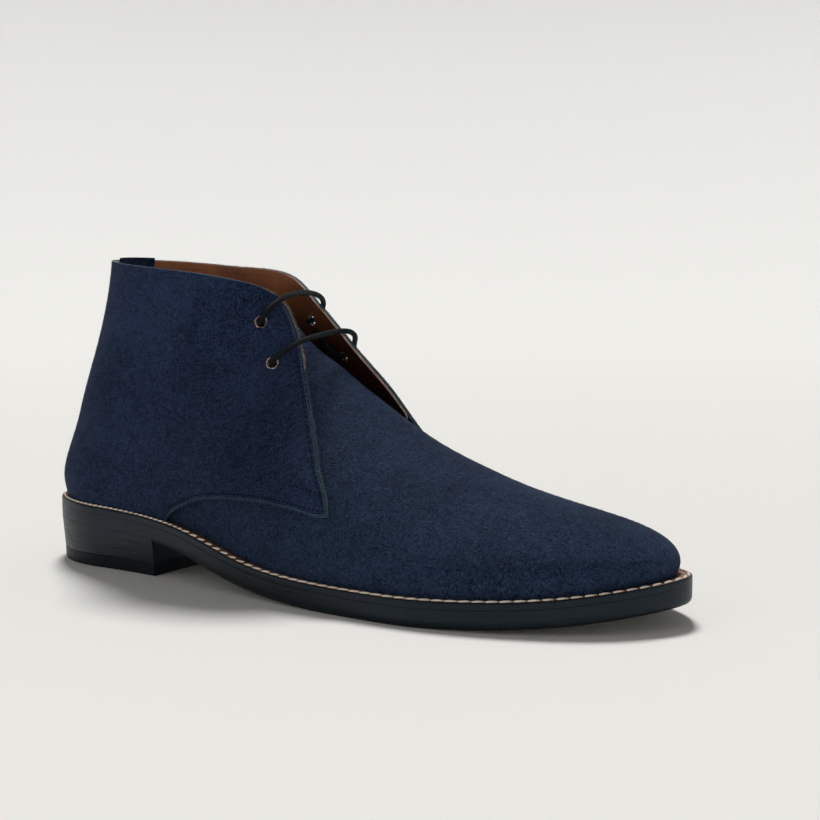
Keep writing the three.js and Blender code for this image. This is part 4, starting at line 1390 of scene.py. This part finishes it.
floor_paper = bpy.data.materials.new("floor_paper")
floor_paper.use_nodes = True
floor_tree = floor_paper.node_tree
floor_shader = floor_tree.nodes["Principled BSDF"]
pattern = floor_tree.nodes.new("ShaderNodeGroup")
pattern.node_tree = paper
floor_tree.links.new(node(floor_tree, "TexCoord").outputs["Object"], pattern.inputs["Vector"])
floor_tree.links.new(pattern.outputs["Color"], floor_shader.inputs["Base Color"])
floor_tree.links.new(pattern.outputs["Emission"], floor_shader.inputs["Emission Color"])
floor_shader.inputs["Emission Strength"].default_value = 1.0
floor_shader.inputs["Roughness"].default_value = 0.9
floor_shader.inputs["Specular IOR Level"].default_value = 0.1

# %% Turn the floor
FLAT_REACH, BOWL_REACH, BOWL_RISE = 0.8, 5.2, 2.6
bm = bmesh.new()
profile = [bm.verts.new((0, 0, 0))]
for share in np.linspace(0, 1, 28):
    rise = BOWL_RISE * max(0, share - 0.15) ** 2.2
    profile.append(bm.verts.new((FLAT_REACH + BOWL_REACH * share, 0, rise)))
for first, second in zip(profile[:-1], profile[1:]):
    bm.edges.new((first, second))
bmesh.ops.spin(
    bm,
    geom=bm.verts[:] + bm.edges[:],
    cent=(0, 0, 0),
    axis=(0, 0, 1),
    angle=2 * math.pi,
    steps=96,
    use_merge=True,
)
bmesh.ops.remove_doubles(bm, verts=bm.verts[:], dist=1e-6)
bmesh.ops.recalc_face_normals(bm, faces=bm.faces[:])
bm.normal_update()
if sum(face.normal.z for face in bm.faces) < 0:
    bmesh.ops.reverse_faces(bm, faces=bm.faces[:])
floor_mesh = bpy.data.meshes.new("floor")
bm.to_mesh(floor_mesh)
bm.free()
floor_mesh.materials.append(floor_paper)
floor_mesh.shade_smooth()
floor = bpy.data.objects.new("floor", floor_mesh)
bpy.context.scene.collection.objects.link(floor)
floor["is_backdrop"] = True
print("floor faces:", len(floor_mesh.polygons))

# %% Light
scene = bpy.context.scene
scene.view_settings.view_transform = "Standard"
scene.world = bpy.data.worlds.new("studio")
scene.world.use_nodes = True
sky = scene.world.node_tree.nodes["Background"]
sky.inputs["Color"].default_value = (1.0, 0.995, 0.985, 1)
sky.inputs["Strength"].default_value = 0.18


def add_light(name, kind, energy, towards, place=(0, 0, 0)):
    """A light at place. towards points from the boot to the light."""
    lamp = bpy.data.lights.new(name, kind)
    lamp.energy = energy
    light = bpy.data.objects.new(name, lamp)
    light.location = place
    light.rotation_euler = Vector(towards).to_track_quat("Z", "Y").to_euler()
    scene.collection.objects.link(light)
    light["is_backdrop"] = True
    return lamp


overhead = add_light("overhead_light", "SUN", 2.6, (-0.30, 0.42, 1.0))
overhead.angle = math.radians(14)
front_place, front_aim = Vector((-0.9, -1.5, 1.1)), Vector((0, 0, 0.06))
front = add_light("front_light", "AREA", 1.7, front_place - front_aim, front_place)
front.shape, front.size = "DISK", 1.4
print("lights:", len(bpy.data.lights))

# %% Camera
CAMERA_AZIMUTH, CAMERA_ELEVATION = math.radians(31.57), math.radians(5.79)
level_way = (math.sin(CAMERA_AZIMUTH), -math.cos(CAMERA_AZIMUTH))
level_share = math.cos(CAMERA_ELEVATION)
camera_back = Vector(
    (level_way[0] * level_share, level_way[1] * level_share, math.sin(CAMERA_ELEVATION))
)
camera_data = bpy.data.cameras.new("camera")
camera_data.lens, camera_data.sensor_width = 66.07, 36
camera = bpy.data.objects.new("camera", camera_data)
camera.location = (0.3532, -0.5200, 0.1376)
camera.rotation_euler = camera_back.to_track_quat("Z", "Y").to_euler()
scene.collection.objects.link(camera)
scene.camera = camera
print("camera to boot in m:", round(camera.location.length, 3))

# %% Measure the sizes
low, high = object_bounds()
